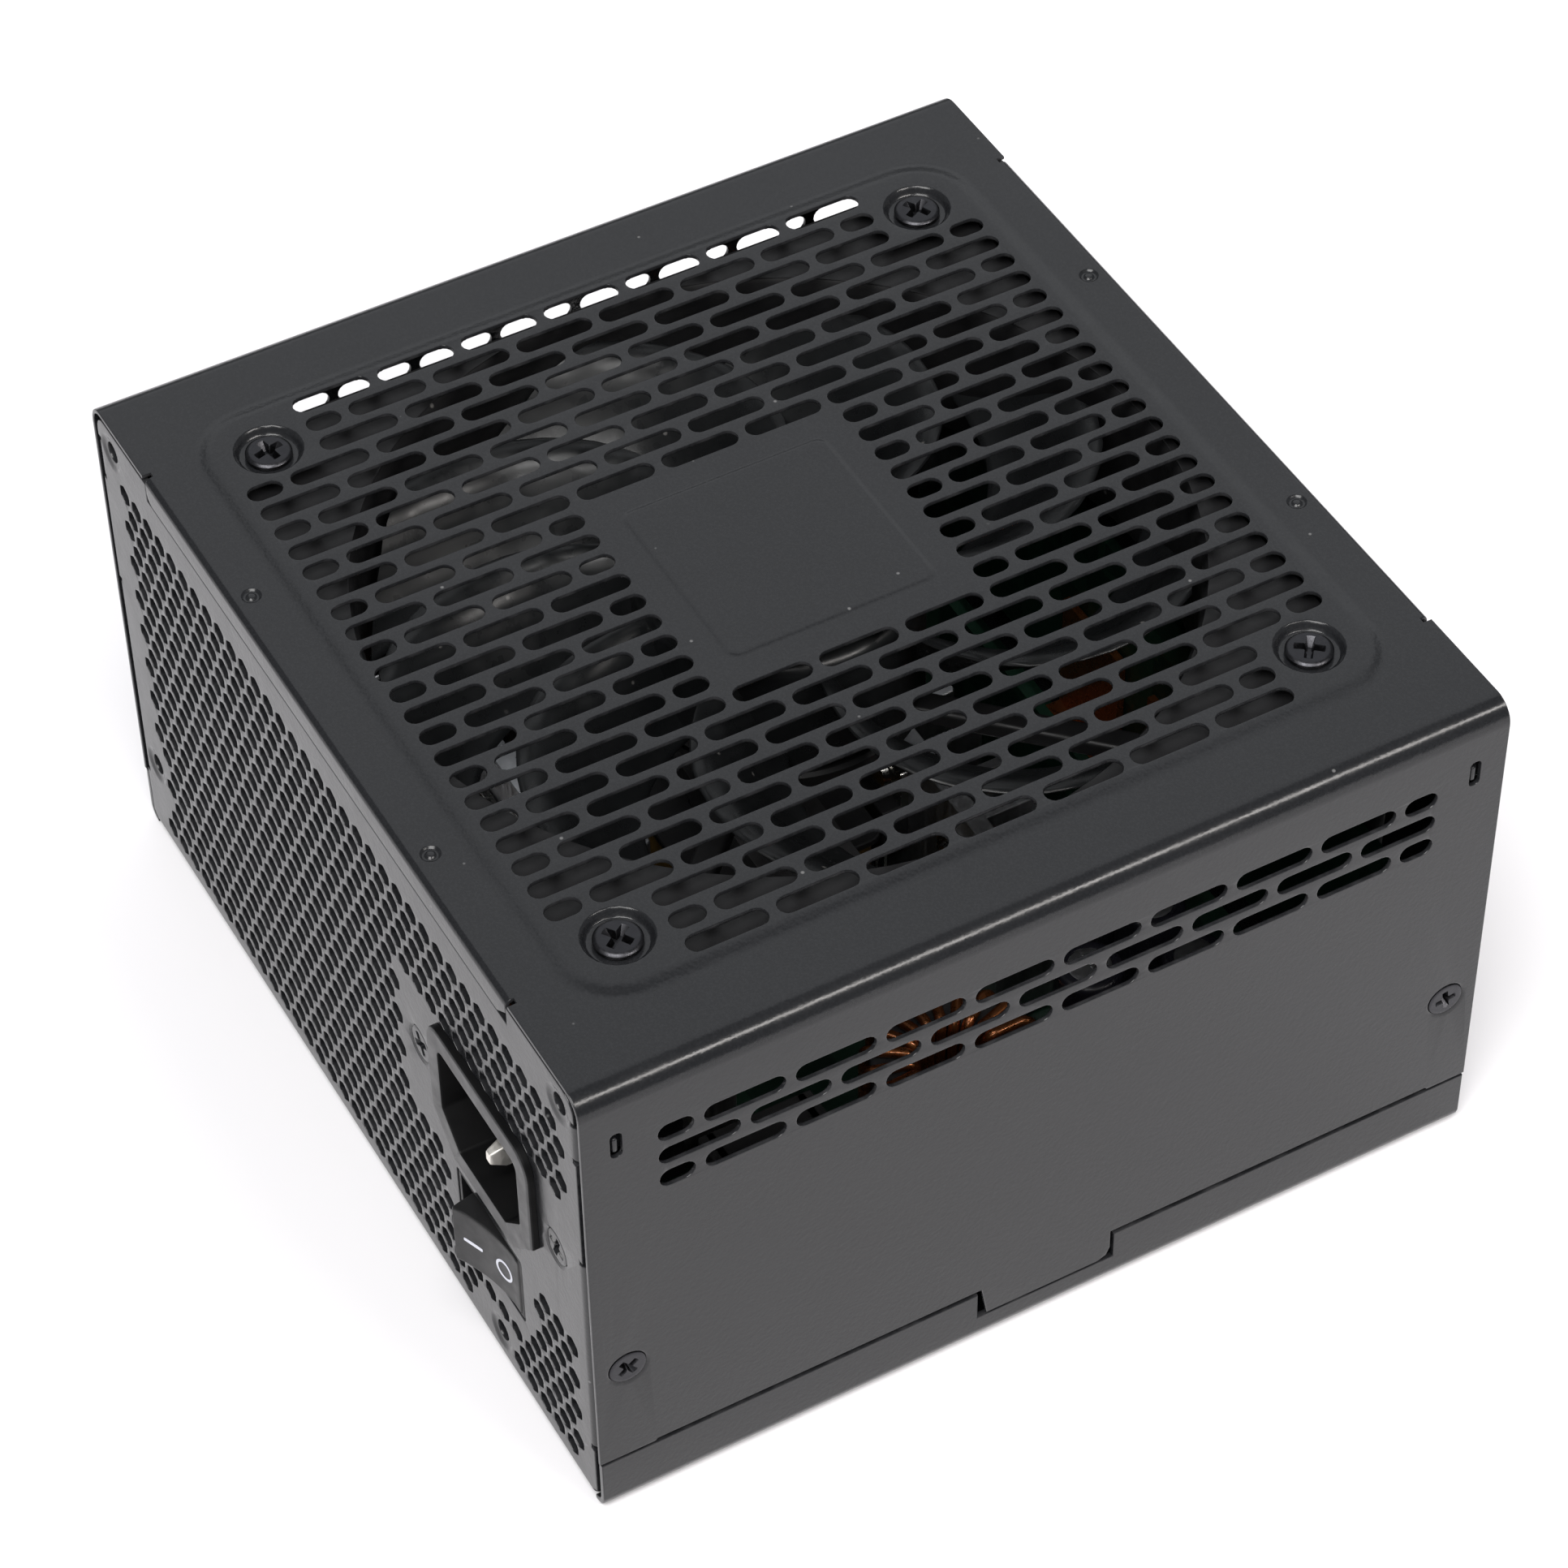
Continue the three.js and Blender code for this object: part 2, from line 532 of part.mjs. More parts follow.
// One blade: a box bent round the hub, pitched down its chord and swept back towards its tip.
function bladeSolid(turn) {
  const rootR = HUB.r - HUB.skin / 2;
  const geometry = new THREE.BoxGeometry(1, 1, 1, 4, 3, 1);
  const position = geometry.attributes.position;
  const height = BLADE.z1 - BLADE.z0 - BLADE.thick;
  for (let i = 0; i < position.count; i++) {
    const outward = position.getX(i) + 0.5;
    const along = position.getY(i);
    const radius = rootR + (BLADE.tipR - rootR) * outward;
    const angle = turn + BLADE.span * along + BLADE.sweep * outward * outward;
    const droop = height * (along + 0.12 * Math.sin(2 * Math.PI * along)) * (1 - 0.25 * outward);
    const z = (BLADE.z0 + BLADE.z1) / 2 - droop + BLADE.thick * position.getZ(i);
    position.setXYZ(i, radius * Math.cos(angle), radius * Math.sin(angle), z);
  }
  return solid(geometry);
}

function buildFanRotor() {
  const bossTop = HUB.top - HUB.skin;
  let rotor = turned([[0, HUB.bottom], [HUB.r, HUB.bottom], [HUB.r, HUB.top - 2], [HUB.r - 2, HUB.top], [0, HUB.top]], 36);
  rotor = rotor.subtract(disc(HUB.r - HUB.skin, HUB.bottom - 1, bossTop, 36));
  rotor = rotor.add(disc(BEARING.outerR, BEARING.top + 0.8, bossTop + 0.5, 12));
  rotor = rotor.subtract(disc(SHAFT.r + GAP, HUB.bottom - 1, SHAFT.z1 + GAP, 12));
  for (let i = 0; i < BLADE.count; i++) rotor = rotor.add(bladeSolid((i * 2 * Math.PI) / BLADE.count));
  place('fan_rotor', rotor, blackPlastic);
  place('fan_shaft', disc(SHAFT.r, SHAFT.z0, SHAFT.z1, 12), steel);
}

function buildFanMotor() {
  const bearingFloor = FAN.top - FAN.depth + 3 + GAP;
  place('fan_bearing', ring(BEARING.innerR + 0.1, BEARING.outerR, bearingFloor, BEARING.top, 16), brass);
  let stator = ring(STATOR.innerR, STATOR.coreR, STATOR.z0, STATOR.z1, 16);
  for (let i = 0; i < 4; i++) {
    const pole = new THREE.BoxGeometry(STATOR.outerR - STATOR.innerR - 1, 7, STATOR.z1 - STATOR.z0 - 2);
    pole.translate((STATOR.outerR + STATOR.innerR) / 2 + 0.2, 0, (STATOR.z0 + STATOR.z1) / 2);
    pole.rotateZ((i * Math.PI) / 2 + Math.PI / 4);
    stator = stator.add(solid(pole));
  }
  place('fan_stator', stator, copper);
}

// ---------------------------------------------------------------- mains inlet

function buildInlet() {
  const frontY = -CASE.halfY - INLET.proud;
  const earFront = -CASE.halfY + SHEET + GAP;
  const earBack = earFront + INLET.earDepth;
  const rim = inletOutline(INLET.rimW, INLET.rimH, INLET.cornerR, INLET.chamfer);
  let housing = prismY(rim, frontY, earFront + 0.5);
  housing = housing.add(prismY(rectangle(INLET.x, INLET.z, INLET.earW, INLET.earH), earFront, earBack));
  housing = housing.add(prismY(rectangle(INLET.x, INLET.z, INLET.bodyW, INLET.bodyH), earFront, INLET.backY));
  const cavity = inletOutline(INLET.openW, INLET.openH, 1.5, INLET.openChamfer);
  housing = housing.subtract(prismY(cavity, frontY - 1, INLET.floorY));
  const screwHoles = [-1, 1].map((side) => {
    return rectangle(INLET.x + (side * INLET.screwPitch) / 2, INLET.z, 3.4, 3.4);
  });
  housing = housing.subtract(prismY(screwHoles, earFront - 1, earBack + 1));
  const pins = [
    ['inlet_live_pin', INLET.x - PIN.pitch, PIN.lineZ, PIN.lineTip],
    ['inlet_neutral_pin', INLET.x + PIN.pitch, PIN.lineZ, PIN.lineTip],
    ['inlet_earth_pin', INLET.x, PIN.earthZ, PIN.earthTip],
  ];
  for (const [name, x, z, tipY] of pins) {
    const hole = rectangle(x, z, PIN.thick + 2 * GAP, PIN.tall + 2 * GAP);
    housing = housing.subtract(prismY(hole, INLET.floorY - 1, INLET.backY + 1));
    place(name, pinSolid(x, z, tipY), steel);
  }
  place('inlet_housing', housing, blackPlastic);
}

// Flat blade with a tapered tip.
function pinSolid(x, z, tipY) {
  const { thick, tall, back } = PIN;
  const [t, h] = [thick / 2, tall / 2];
  const taper = 1.6;
  const plan = polygon([
    [x - t, back], [x - t, tipY + taper], [x - t / 2, tipY],
    [x + t / 2, tipY], [x + t, tipY + taper], [x + t, back],
  ]);
  return prismZ(plan, z - h, z + h);
}

// ---------------------------------------------------------------- mains switch

function buildSwitch() {
  const { x, z, halfX, halfZ, innerX, innerZ, frontY, backY } = SWITCH;
  let housing = prismY(rectangle(x, z, 2 * halfX, 2 * halfZ), frontY, backY);
  housing = housing.subtract(prismY(rectangle(x, z, 2 * innerX, 2 * innerZ), frontY - 1, backY - 3));
  for (const side of [-1, 1]) {
    const low = side > 0 ? z + halfZ - 0.1 : z - halfZ - 0.8;
    const catchFront = -CASE.halfY + SHEET + GAP;
    housing = housing.add(box(x - 4, x + 4, catchFront, catchFront + 3, low, low + 0.9));
  }
  const pivot = [x, ROCKER.pivotY, z];
  housing = housing.subtract(disc(ROCKER.trunnionR + 0.25, -halfZ - 2, halfZ + 2, 12, pivot));
  [-1, 1].forEach((side, i) => {
    const tx = x + side * 4.5;
    housing = housing.subtract(box(tx - 0.8, tx + 0.8, backY - 5, backY + 1, z - 2.8, z + 2.8));
    place(`switch_terminal_${i + 1}`, box(tx - 0.4, tx + 0.4, backY - 4.5, backY + 6, z - 2.4, z + 2.4), brass);
  });
  place('switch_housing', housing, blackPlastic);
  place('power_rocker', rockerSolid(), blackPlastic);
}

// The rocker with its O end pressed in: a dished face turned by the tilt about the trunnions.
function rockerSolid() {
  const { reach, halfX, halfZ, dish, tilt, trunnionR, pivotY } = ROCKER;
  const face = [];
  const faceSteps = 6;
  for (let i = 0; i <= faceSteps; i++) {
    const u = 1 - (2 * i) / faceSteps;
    face.push([halfX * u, -reach + dish * (1 - u * u)]);
  }
  const plan = polygon([...face, [-5.4, -1.5], [-2, 3.4], [2, 3.4], [5.4, -1.5]]);
  const geometry = extrude(plan, 2 * halfZ, 4);
  geometry.translate(0, 0, -halfZ);
  const trunnions = disc(trunnionR, -halfZ - 0.6, halfZ + 0.6, 12);
  const rocker = solid(geometry).add(trunnions);
  return rocker.rotate([0, 0, tilt]).translate([SWITCH.x, pivotY, SWITCH.z]);
}

// ---------------------------------------------------------------- main board and its parts

function buildBoard() {
  const { x, y0, y1, z0, thick } = BOARD;
  let board = box(-x, x, y0, y1, z0, z0 + thick);
  let sheet = box(-x, x, y0, y1, SHEET + GAP, SHEET + GAP + 0.4);
  for (const [sx, sy] of corners(BOARD.screwX, BOARD.screwY)) {
    board = board.subtract(disc(1.7, z0 - 1, z0 + thick + 1, 8, [sx, sy, 0]));
    sheet = sheet.subtract(disc(BOSS.r + GAP, 0, 4, 12, [sx, sy, 0]));
  }
  place('main_board', board, greenBoard);
  place('insulating_sheet', sheet, clearSheet);
}

// A toroid lying flat on the board: ferrite ring, and a winding that leaves a gap at one side.
function toroid(name, x, y, outerR, innerR, height) {
  const z0 = PART_Z + 2.5;
  const z1 = z0 + height;
  const wire = 1.8;
  place(`${name}_core`, ring(innerR, outerR, z0, z1, 20, [x, y, 0]), ferrite);
  let winding = ring(innerR - wire, outerR + wire, z0 - wire, z1 + wire, 20, [x, y, 0]);
  winding = winding.subtract(ring(innerR - GAP, outerR + GAP, z0 - GAP, z1 + GAP, 20, [x, y, 0]));
  const gapBox = box(x, x + outerR + 4, y - 2.5, y + 2.5, z0 - 4, z1 + 4);
  place(`${name}_winding`, winding.subtract(gapBox), copper);
}

// A double-E ferrite core with its winding round the middle leg.
function transformer(name, x, y, width, height, depth) {
  const leg = width * 0.15;
  const windowW = width * 0.2;
  const yoke = height * 0.14;
  const windowH = height - 2 * yoke;
  const zc = PART_Z + height / 2;
  const at = (shape) => prismY(shape, y - depth / 2, y + depth / 2);
  let core = at(rectangle(x, zc, width, height));
  for (const side of [-1, 1]) {
    const cx = x + side * (width / 2 - leg - windowW / 2);
    const opening = rectangle(cx, zc, windowW, windowH);
    core = core.subtract(prismY(opening, y - depth, y + depth));
  }
  const inner = { x: width / 2 - leg - windowW + GAP, y: depth / 2 + GAP };
  const outer = { x: width / 2 - leg - GAP, y: depth + GAP };
  const [z0, z1] = [zc - windowH / 2 + GAP, zc + windowH / 2 - GAP];
  let winding = box(x - outer.x, x + outer.x, y - outer.y, y + outer.y, z0, z1);
  winding = winding.subtract(box(x - inner.x, x + inner.x, y - inner.y, y + inner.y, z0 - 1, z1 + 1));
  place(`${name}_core`, core, ferrite);
  place(`${name}_winding`, winding, yellowCoat);
}

// A comb-shaped aluminium extrusion standing on the board, fins towards +y.
function heatsink(name, x0, x1, y0, height) {
  const base = 3;
  const fin = { depth: 9, thick: 1.6, pitch: 8 };
  let sink = box(x0, x1, y0, y0 + base, PART_Z, PART_Z + height);
  for (let x = x0; x + fin.thick <= x1; x += fin.pitch) {
    sink = sink.add(box(x, x + fin.thick, y0 + base - 0.5, y0 + base + fin.depth, PART_Z, PART_Z + height));
  }
  place(name, sink, aluminium);
}

function canCapacitor(name, x, y, r, height) {
  const top = PART_Z + height;
  const profile = [[0, PART_Z], [r, PART_Z], [r, top - 1], [r - 1, top], [0, top]];
  place(name, turned(profile, 16, [x, y, 0]), blackSleeve);
}

function block(name, x, y, width, depth, height, material) {
  place(name, box(x - width / 2, x + width / 2, y - depth / 2, y + depth / 2, PART_Z, PART_Z + height), material);
}

function buildBoardParts() {
  toroid('emi_choke', 6, -50, 9, 5.5, 9);
  toroid('pfc_choke', -46, -26, 15, 8, 14);
  toroid('output_choke', 46, 2, 12, 6.5, 12);
  transformer('main_transformer', 2, -6, 40, 34, 14);
  heatsink('primary_heatsink', -24, 34, -38, 40);
  heatsink('secondary_heatsink', -24, 34, 16, 36);
  canCapacitor('bulk_capacitor', -50, 12, 15, 42);
  [[28, 38], [40, 38], [52, 38], [46, 24]].forEach(([x, y], i) => {
    canCapacitor(`output_capacitor_${i + 1}`, x, y, 5, 22);
  });
  block('x_capacitor', -18, -54, 26, 10, 18, yellowCoat);
  block('bridge_rectifier', -44, -55, 22, 5, 19, blackPlastic);
  block('relay', 58, -28, 13, 18, 16, blackPlastic);
  block('standby_transformer', 46, -28, 8, 18, 16, yellowCoat);
  block('control_board', -2, 40, 40, 1.6, 30, greenBoard);
}

// ---------------------------------------------------------------- cable side

function modularSocket({ name, x, z, columns }) {
  const { width, height } = socketSize(columns);
  const back = MODULAR.y + MODULAR.thick + GAP;
  const cells = [];
  for (let i = 0; i < columns; i++) {
    for (const row of [-0.5, 0.5]) {
      const cx = x + (i - (columns - 1) / 2) * MODULAR.pitch;
      cells.push(rectangle(cx, z + row * MODULAR.pitch, MODULAR.cell, MODULAR.cell));
    }
  }
  const socket = prismY(rectangle(x, z, width, height), back, SOCKET_FRONT);
  place(name, socket.subtract(prismY(cells, SOCKET_FRONT - MODULAR.cellDepth, SOCKET_FRONT + 1)), blackPlastic);
}

// Copper strip that carries current from the main board up to the modular board.
function busbar(name, x, width) {
  const { y, z0 } = MODULAR;
  const side = polygon([
    [46, PART_Z], [y - GAP, PART_Z], [y - GAP, z0 + 20], [y - GAP - 1.2, z0 + 20],
    [y - GAP - 1.2, PART_Z + 1.2], [46, PART_Z + 1.2],
  ]);
  place(name, prismX(side, x - width / 2, x + width / 2), copper);
}

function buildCableSide() {
  const { halfX, y, thick, z0, z1 } = MODULAR;
  place('modular_board', box(-halfX, halfX, y, y + thick, z0, z1), greenBoard);
  SOCKETS.forEach(modularSocket);
  busbar('busbar_supply', -10, 16);
  busbar('busbar_ground', 14, 16);
}

// ---------------------------------------------------------------- build

buildTray();
buildCover();
buildScrews();
buildFanFrame();
buildFanRotor();
buildFanMotor();
buildInlet();
buildSwitch();
buildBoard();
buildBoardParts();
buildCableSide();

export default group;
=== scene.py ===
import math

import bmesh
import bpy
import numpy as np
from mathutils import Matrix, Vector
from mathutils.geometry import delaunay_2d_cdt


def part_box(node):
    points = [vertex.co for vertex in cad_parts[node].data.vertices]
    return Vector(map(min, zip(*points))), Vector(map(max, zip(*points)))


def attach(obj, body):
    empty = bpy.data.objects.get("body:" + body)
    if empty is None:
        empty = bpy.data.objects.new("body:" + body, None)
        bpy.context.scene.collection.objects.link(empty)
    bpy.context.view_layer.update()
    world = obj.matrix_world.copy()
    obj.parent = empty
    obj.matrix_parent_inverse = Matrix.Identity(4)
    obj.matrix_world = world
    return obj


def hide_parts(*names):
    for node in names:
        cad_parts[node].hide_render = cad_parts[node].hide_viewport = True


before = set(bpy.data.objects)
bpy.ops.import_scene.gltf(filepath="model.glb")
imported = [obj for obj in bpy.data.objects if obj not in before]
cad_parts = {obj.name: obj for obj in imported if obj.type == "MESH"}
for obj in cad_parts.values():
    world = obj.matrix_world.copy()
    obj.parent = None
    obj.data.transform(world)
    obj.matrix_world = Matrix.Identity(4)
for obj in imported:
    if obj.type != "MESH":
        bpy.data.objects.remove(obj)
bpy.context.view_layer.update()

# The looks of a desktop power supply. Lengths in this script are millimetres in the frame's own
# axes (+Z up, -Y the mains panel) and become metres where a mesh is made.

MM = 0.001


def box_mm(node):
    """Lowest and highest corner of a CAD node, in millimetres."""
    low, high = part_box(node)
    return np.array(low) / MM, np.array(high) / MM


# ---------------------------------------------------------------- sizes read from the frame

HALF_X, HALF_Y, COVER_TOP = box_mm("cover")[1]
TRAY_TOP = box_mm("tray")[1][2]
PANEL_RISE = 0.5
PLATE_TOP = COVER_TOP - PANEL_RISE
TRAY_SHEET, COVER_SHEET = 1.0, 0.7
RIM = 0.2  # rounding of a cut edge

# The cover's vents: columns of slots across the top, rows of (height, odd) down the sides.
SLOT_WIDTH, SLOT_LENGTH, SLOT_WEB = 3.0, 11.8, 1.5
COLUMN_PITCH = 4.5
LAST_COLUMN, LAST_LONG_COLUMN, LAST_SPLIT_COLUMN = 13, 10, 4
SLOT_REACH, SHORT_REACH, CENTRE_HALF = 59.1, 45.8, 20.7
SIDE_ROWS = ((73.5, False), (69.0, True), (64.5, False))
FAR_SIDE_LIFT = 1.1

# The cover's folds, the lips over the walls, and the skirt with its tab.
COVER_BEND, LIP_BEND = 3.5, 1.1
LIP_X = (-56.0, 55.0)
LIP_LOW = 81.3
RELIEF_WIDTH = 0.8
SKIRT_LOW, TAB_LOW = 10.4, 5.3
TAB_HALF = 10.5

# Places of repeated fixings: (y, z) on the sides, and the half pitch of the fan's screws.
SIDE_SCREW = (65.0, 29.0)
TONGUE = (65.0, 75.2)
KEYHOLE_HALF = (2.25, 0.85)
FAN_HOLE, FAN_HOLE_R = 52.5, 2.3
CORNERS = tuple((su * FAN_HOLE, sv * FAN_HOLE) for su, sv in ((-1, -1), (1, -1), (1, 1), (-1, 1)))
SCREW_HEAD = 2.75  # radius of a countersunk screw's head
SCREW_SINK = 0.12


# ---------------------------------------------------------------- node materials

class Paint:
    """Builds one procedural material around a Principled shader."""

    def __init__(self, name, **sockets):
        self.material = bpy.data.materials.new(name)
        self.material.use_nodes = True
        self.tree = self.material.node_tree
        self.shader = self.tree.nodes["Principled BSDF"]
        self.place = self.add("ShaderNodeTexCoord").outputs["Object"]
        for socket, value in sockets.items():
            self.shader.inputs[socket.replace("_", " ")].default_value = value

    def add(self, kind, **settings):
        node = self.tree.nodes.new(kind)
        for key, value in settings.items():
            setattr(node, key, value)
        return node

    def link(self, source, target):
        self.tree.links.new(source, target)

    def noise(self, size_mm, detail=2.0, roughness=0.5, stretch=(1, 1, 1)):
        """Noise whose features are about size_mm across."""
        mapping = self.add("ShaderNodeMapping")
        mapping.inputs["Scale"].default_value = stretch
        self.link(self.place, mapping.inputs["Vector"])
        node = self.add("ShaderNodeTexNoise")
        node.inputs["Scale"].default_value = 1.0 / (size_mm * MM)
        node.inputs["Detail"].default_value = detail
        node.inputs["Roughness"].default_value = roughness
        self.link(mapping.outputs["Vector"], node.inputs["Vector"])
        return node.outputs["Fac"]

    def specks(self, size_mm, share):
        """1 on a few small dots, 0 elsewhere."""
        node = self.add("ShaderNodeTexVoronoi")
        node.inputs["Scale"].default_value = 1.0 / (size_mm * MM)
        self.link(self.place, node.inputs["Vector"])
        near = self.ramp(node.outputs["Distance"], [(0.06, 1.0), (0.12, 0.0)])
        chosen = self.ramp(self.split(node.outputs["Color"]), [(share, 1.0), (share + 0.01, 0.0)])
        return self.maths("MULTIPLY", near, chosen)

    def split(self, colour):
        node = self.add("ShaderNodeSeparateColor")
        self.link(colour, node.inputs["Color"])
        return node.outputs["Red"]

    def ramp(self, value, stops):
        """Maps a value through grey or coloured stops."""
        node = self.add("ShaderNodeValToRGB")
        elements = node.color_ramp.elements
        while len(elements) < len(stops):
            elements.new(0.5)
        for element, (position, colour) in zip(elements, stops):
            element.position = position
            grey = isinstance(colour, float)
            element.color = (colour, colour, colour, 1) if grey else (*colour, 1)
        self.link(value, node.inputs["Fac"])
        return node.outputs["Color"]

    def maths(self, operation, a, b):
        node = self.add("ShaderNodeMath", operation=operation)
        for socket, value in zip(node.inputs, (a, b)):
            if isinstance(value, (int, float)):
                socket.default_value = value
            else:
                self.link(value, socket)
        return node.outputs[0]

    def mix(self, factor, a, b):
        """Colour mix; a and b are colours or sockets."""
        node = self.add("ShaderNodeMix", data_type="RGBA")
        for socket, value in zip((node.inputs[0], node.inputs[6], node.inputs[7]), (factor, a, b)):
            if isinstance(value, (int, float)):
                socket.default_value = value
            elif isinstance(value, tuple):
                socket.default_value = (*value, 1)
            else:
                self.link(value, socket)
        return node.outputs[2]

    def attribute(self, name):
        node = self.add("ShaderNodeAttribute", attribute_name=name)
        return node.outputs["Fac"]

    def colour(self, socket):
        self.link(socket, self.shader.inputs["Base Color"])

    def roughness(self, socket, low, high):
        self.link(self.ramp(socket, [(0.3, low), (0.7, high)]), self.shader.inputs["Roughness"])

    def bump(self, *layers):
        """Layers of (height socket, depth in millimetres), stacked."""
        normal = None
        for height, depth in layers:
            node = self.add("ShaderNodeBump")
            node.inputs["Strength"].default_value = 1.0
            node.inputs["Distance"].default_value = depth * MM
            self.link(height, node.inputs["Height"])
            if normal is not None:
                self.link(normal, node.inputs["Normal"])
            normal = node.outputs["Normal"]
        self.link(normal, self.shader.inputs["Normal"])


def powder_coat():
    """Fine-textured black paint with dust, and a little wear on cut edges."""
    paint = Paint("powder_coat", IOR=1.42)
    cloudy = paint.noise(26, 3.0)
    base = paint.mix(cloudy, (0.0090, 0.0094, 0.0106), (0.0120, 0.0125, 0.0140))
    grains = paint.ramp(paint.noise(0.35, 2.0), [(0.42, 0.0), (0.72, 1.0)])
    base = paint.mix(paint.maths("MULTIPLY", grains, 0.22), base, (0.030, 0.031, 0.034))
    dusty = paint.maths("MULTIPLY", paint.specks(2.6, 0.05), 0.6)
    base = paint.mix(dusty, base, (0.20, 0.20, 0.20))
    rubbed = paint.ramp(paint.noise(3.0), [(0.45, 0.1), (0.7, 0.6)])
    worn = paint.maths("MULTIPLY", paint.attribute("edge"), rubbed)
    base = paint.mix(worn, base, (0.05, 0.05, 0.053))
    paint.colour(base)
    paint.roughness(paint.noise(4.0, 3.0), 0.18, 0.24)
    paint.bump((paint.noise(1.1, 1.0), 0.014), (paint.noise(0.55, 1.0), 0.013))
    return paint.material


def moulded_plastic(name, colour, rough, grain_mm=0.25, depth=0.004, shine=0.5):
    """Slightly uneven plastic with a fine grain and a few dust specks."""
    paint = Paint(name, Specular_IOR_Level=shine)
    light = tuple(c * 1.5 + 0.002 for c in colour)
    base = paint.mix(paint.noise(9, 3.0), colour, light)
    dusty = paint.maths("MULTIPLY", paint.specks(3.5, 0.10), 0.35)
    paint.colour(paint.mix(dusty, base, (0.30, 0.29, 0.28)))
    paint.roughness(paint.noise(2.5, 3.0), rough - 0.06, rough + 0.08)
    paint.bump((paint.noise(grain_mm, 2.0), depth))
    return paint.material


def metal(name, colour, rough, stretch=(1, 1, 1), size=0.6, depth=0.002, dark=0.7):
    """Bare or plated metal; stretch draws its marks out along an axis."""
    paint = Paint(name, Metallic=1.0)
    shade = tuple(c * dark for c in colour)
    paint.colour(paint.mix(paint.noise(2.0, 4.0), shade, colour))
    paint.roughness(paint.noise(size, 3.0, 0.6, stretch), rough - 0.08, rough + 0.1)
    paint.bump((paint.noise(size, 2.0, 0.6, stretch), depth))
    return paint.material


def enamelled_wire():
    paint = Paint("enamelled_wire", Metallic=0.9, Coat_Weight=0.6, Coat_Roughness=0.15)
    paint.colour(paint.mix(paint.noise(3.0, 3.0), (0.30, 0.085, 0.025), (0.50, 0.19, 0.065)))
    paint.roughness(paint.noise(1.0), 0.22, 0.4)
    paint.bump((paint.noise(0.8), 0.004))
    return paint.material


def circuit_board():
    """Solder mask with broad tracks under it."""
    paint = Paint("circuit_board", Specular_IOR_Level=0.5)
    cells = paint.add("ShaderNodeTexVoronoi", distance="CHEBYCHEV")
    cells.inputs["Scale"].default_value = 1.0 / (9.0 * MM)
    paint.link(paint.place, cells.inputs["Vector"])
    tracks = paint.ramp(cells.outputs["Distance"], [(0.40, 0.0), (0.43, 1.0)])
    paint.colour(paint.mix(tracks, (0.004, 0.016, 0.010), (0.007, 0.028, 0.016)))
    paint.roughness(paint.noise(3.0), 0.3, 0.45)
    paint.bump((tracks, 0.03))
    return paint.material


def tape(name, colour):
    """Wound polyester tape: bands across its height."""
    paint = Paint(name, Specular_IOR_Level=0.5)
    bands = paint.noise(2.0, 2.0, 0.5, (0.05, 0.05, 1.0))
    deep = tuple(c * 0.55 for c in colour)
    paint.colour(paint.mix(bands, deep, colour))
    paint.roughness(paint.noise(3.0), 0.35, 0.5)
    paint.bump((bands, 0.05))
    return paint.material


MATERIALS = {
    "case_paint": powder_coat(),
    "black_screw": metal("black_screw", (0.055, 0.055, 0.06), 0.34, size=0.4, depth=0.003),
    "zinc_screw": metal("zinc_screw", (0.42, 0.42, 0.41), 0.36),
    "bright_steel": metal("bright_steel", (0.62, 0.61, 0.58), 0.22, (1, 0.05, 1)),
    "fan_plastic": moulded_plastic("fan_plastic", (0.006, 0.0065, 0.007), 0.30, 1.5, 0.006, 0.3),
    "brass": metal("brass", (0.68, 0.52, 0.22), 0.28),
    "inlet_plastic": moulded_plastic("inlet_plastic", (0.020, 0.020, 0.021), 0.40),
    "black_plastic": moulded_plastic("black_plastic", (0.006, 0.006, 0.0065), 0.45, shine=0.3),
    "rocker_plastic": moulded_plastic("rocker_plastic", (0.009, 0.009, 0.0095), 0.40, shine=0.35),
    "circuit_board": circuit_board(),
    "insulating_film": moulded_plastic("insulating_film", (0.02, 0.02, 0.022), 0.3),
    "ferrite": moulded_plastic("ferrite", (0.020, 0.020, 0.021), 0.6, 0.4, 0.02),
    "copper": enamelled_wire(),
    "aluminium": metal("aluminium", (0.62, 0.63, 0.65), 0.36, (1, 1, 0.04)),
    "capacitor_sleeve": moulded_plastic("capacitor_sleeve", (0.008, 0.008, 0.012), 0.28, 3.0, 0.01),
    "yellow_film": tape("yellow_film", (0.20, 0.12, 0.03)),
    "component_resin": moulded_plastic("component_resin", (0.010, 0.010, 0.011), 0.5, 0.4, 0.01, 0.35),
}
WHITE_MARK = moulded_plastic("white_mark", (0.55, 0.56, 0.62), 0.45)
# A much darker copy of the inlet's plastic: painted shade for the inside of its cavity and its back.
SHADED_PLASTIC = moulded_plastic("shaded_plastic", (0.0025, 0.0025, 0.0027), 0.5, shine=0.12)
PLATED_PIN = metal("plated_pin", (0.96, 0.93, 0.87), 0.50, depth=0.001, dark=0.9)


# ---------------------------------------------------------------- meshes

def make(name, verts, faces, body, slot, replaces=(), angle=35.0, material=None):
    """One piece from points in millimetres: smooth shaded, sharp above the angle, riding on a body."""
    mesh = bpy.data.meshes.new(name)
    mesh.from_pydata((np.asarray(verts, float) * MM).tolist(), [], [list(map(int, f)) for f in faces])
    mesh.validate()
    mesh.shade_smooth()
    mesh.set_sharp_from_angle(angle=math.radians(angle))
    mesh.materials.append(material or MATERIALS[slot])
    piece = bpy.data.objects.new(name, mesh)
    bpy.context.scene.collection.objects.link(piece)
    piece.modifiers.new("normals", "WEIGHTED_NORMAL").keep_sharp = True
    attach(piece, body)
    if replaces:
        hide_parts(*replaces)
    return piece


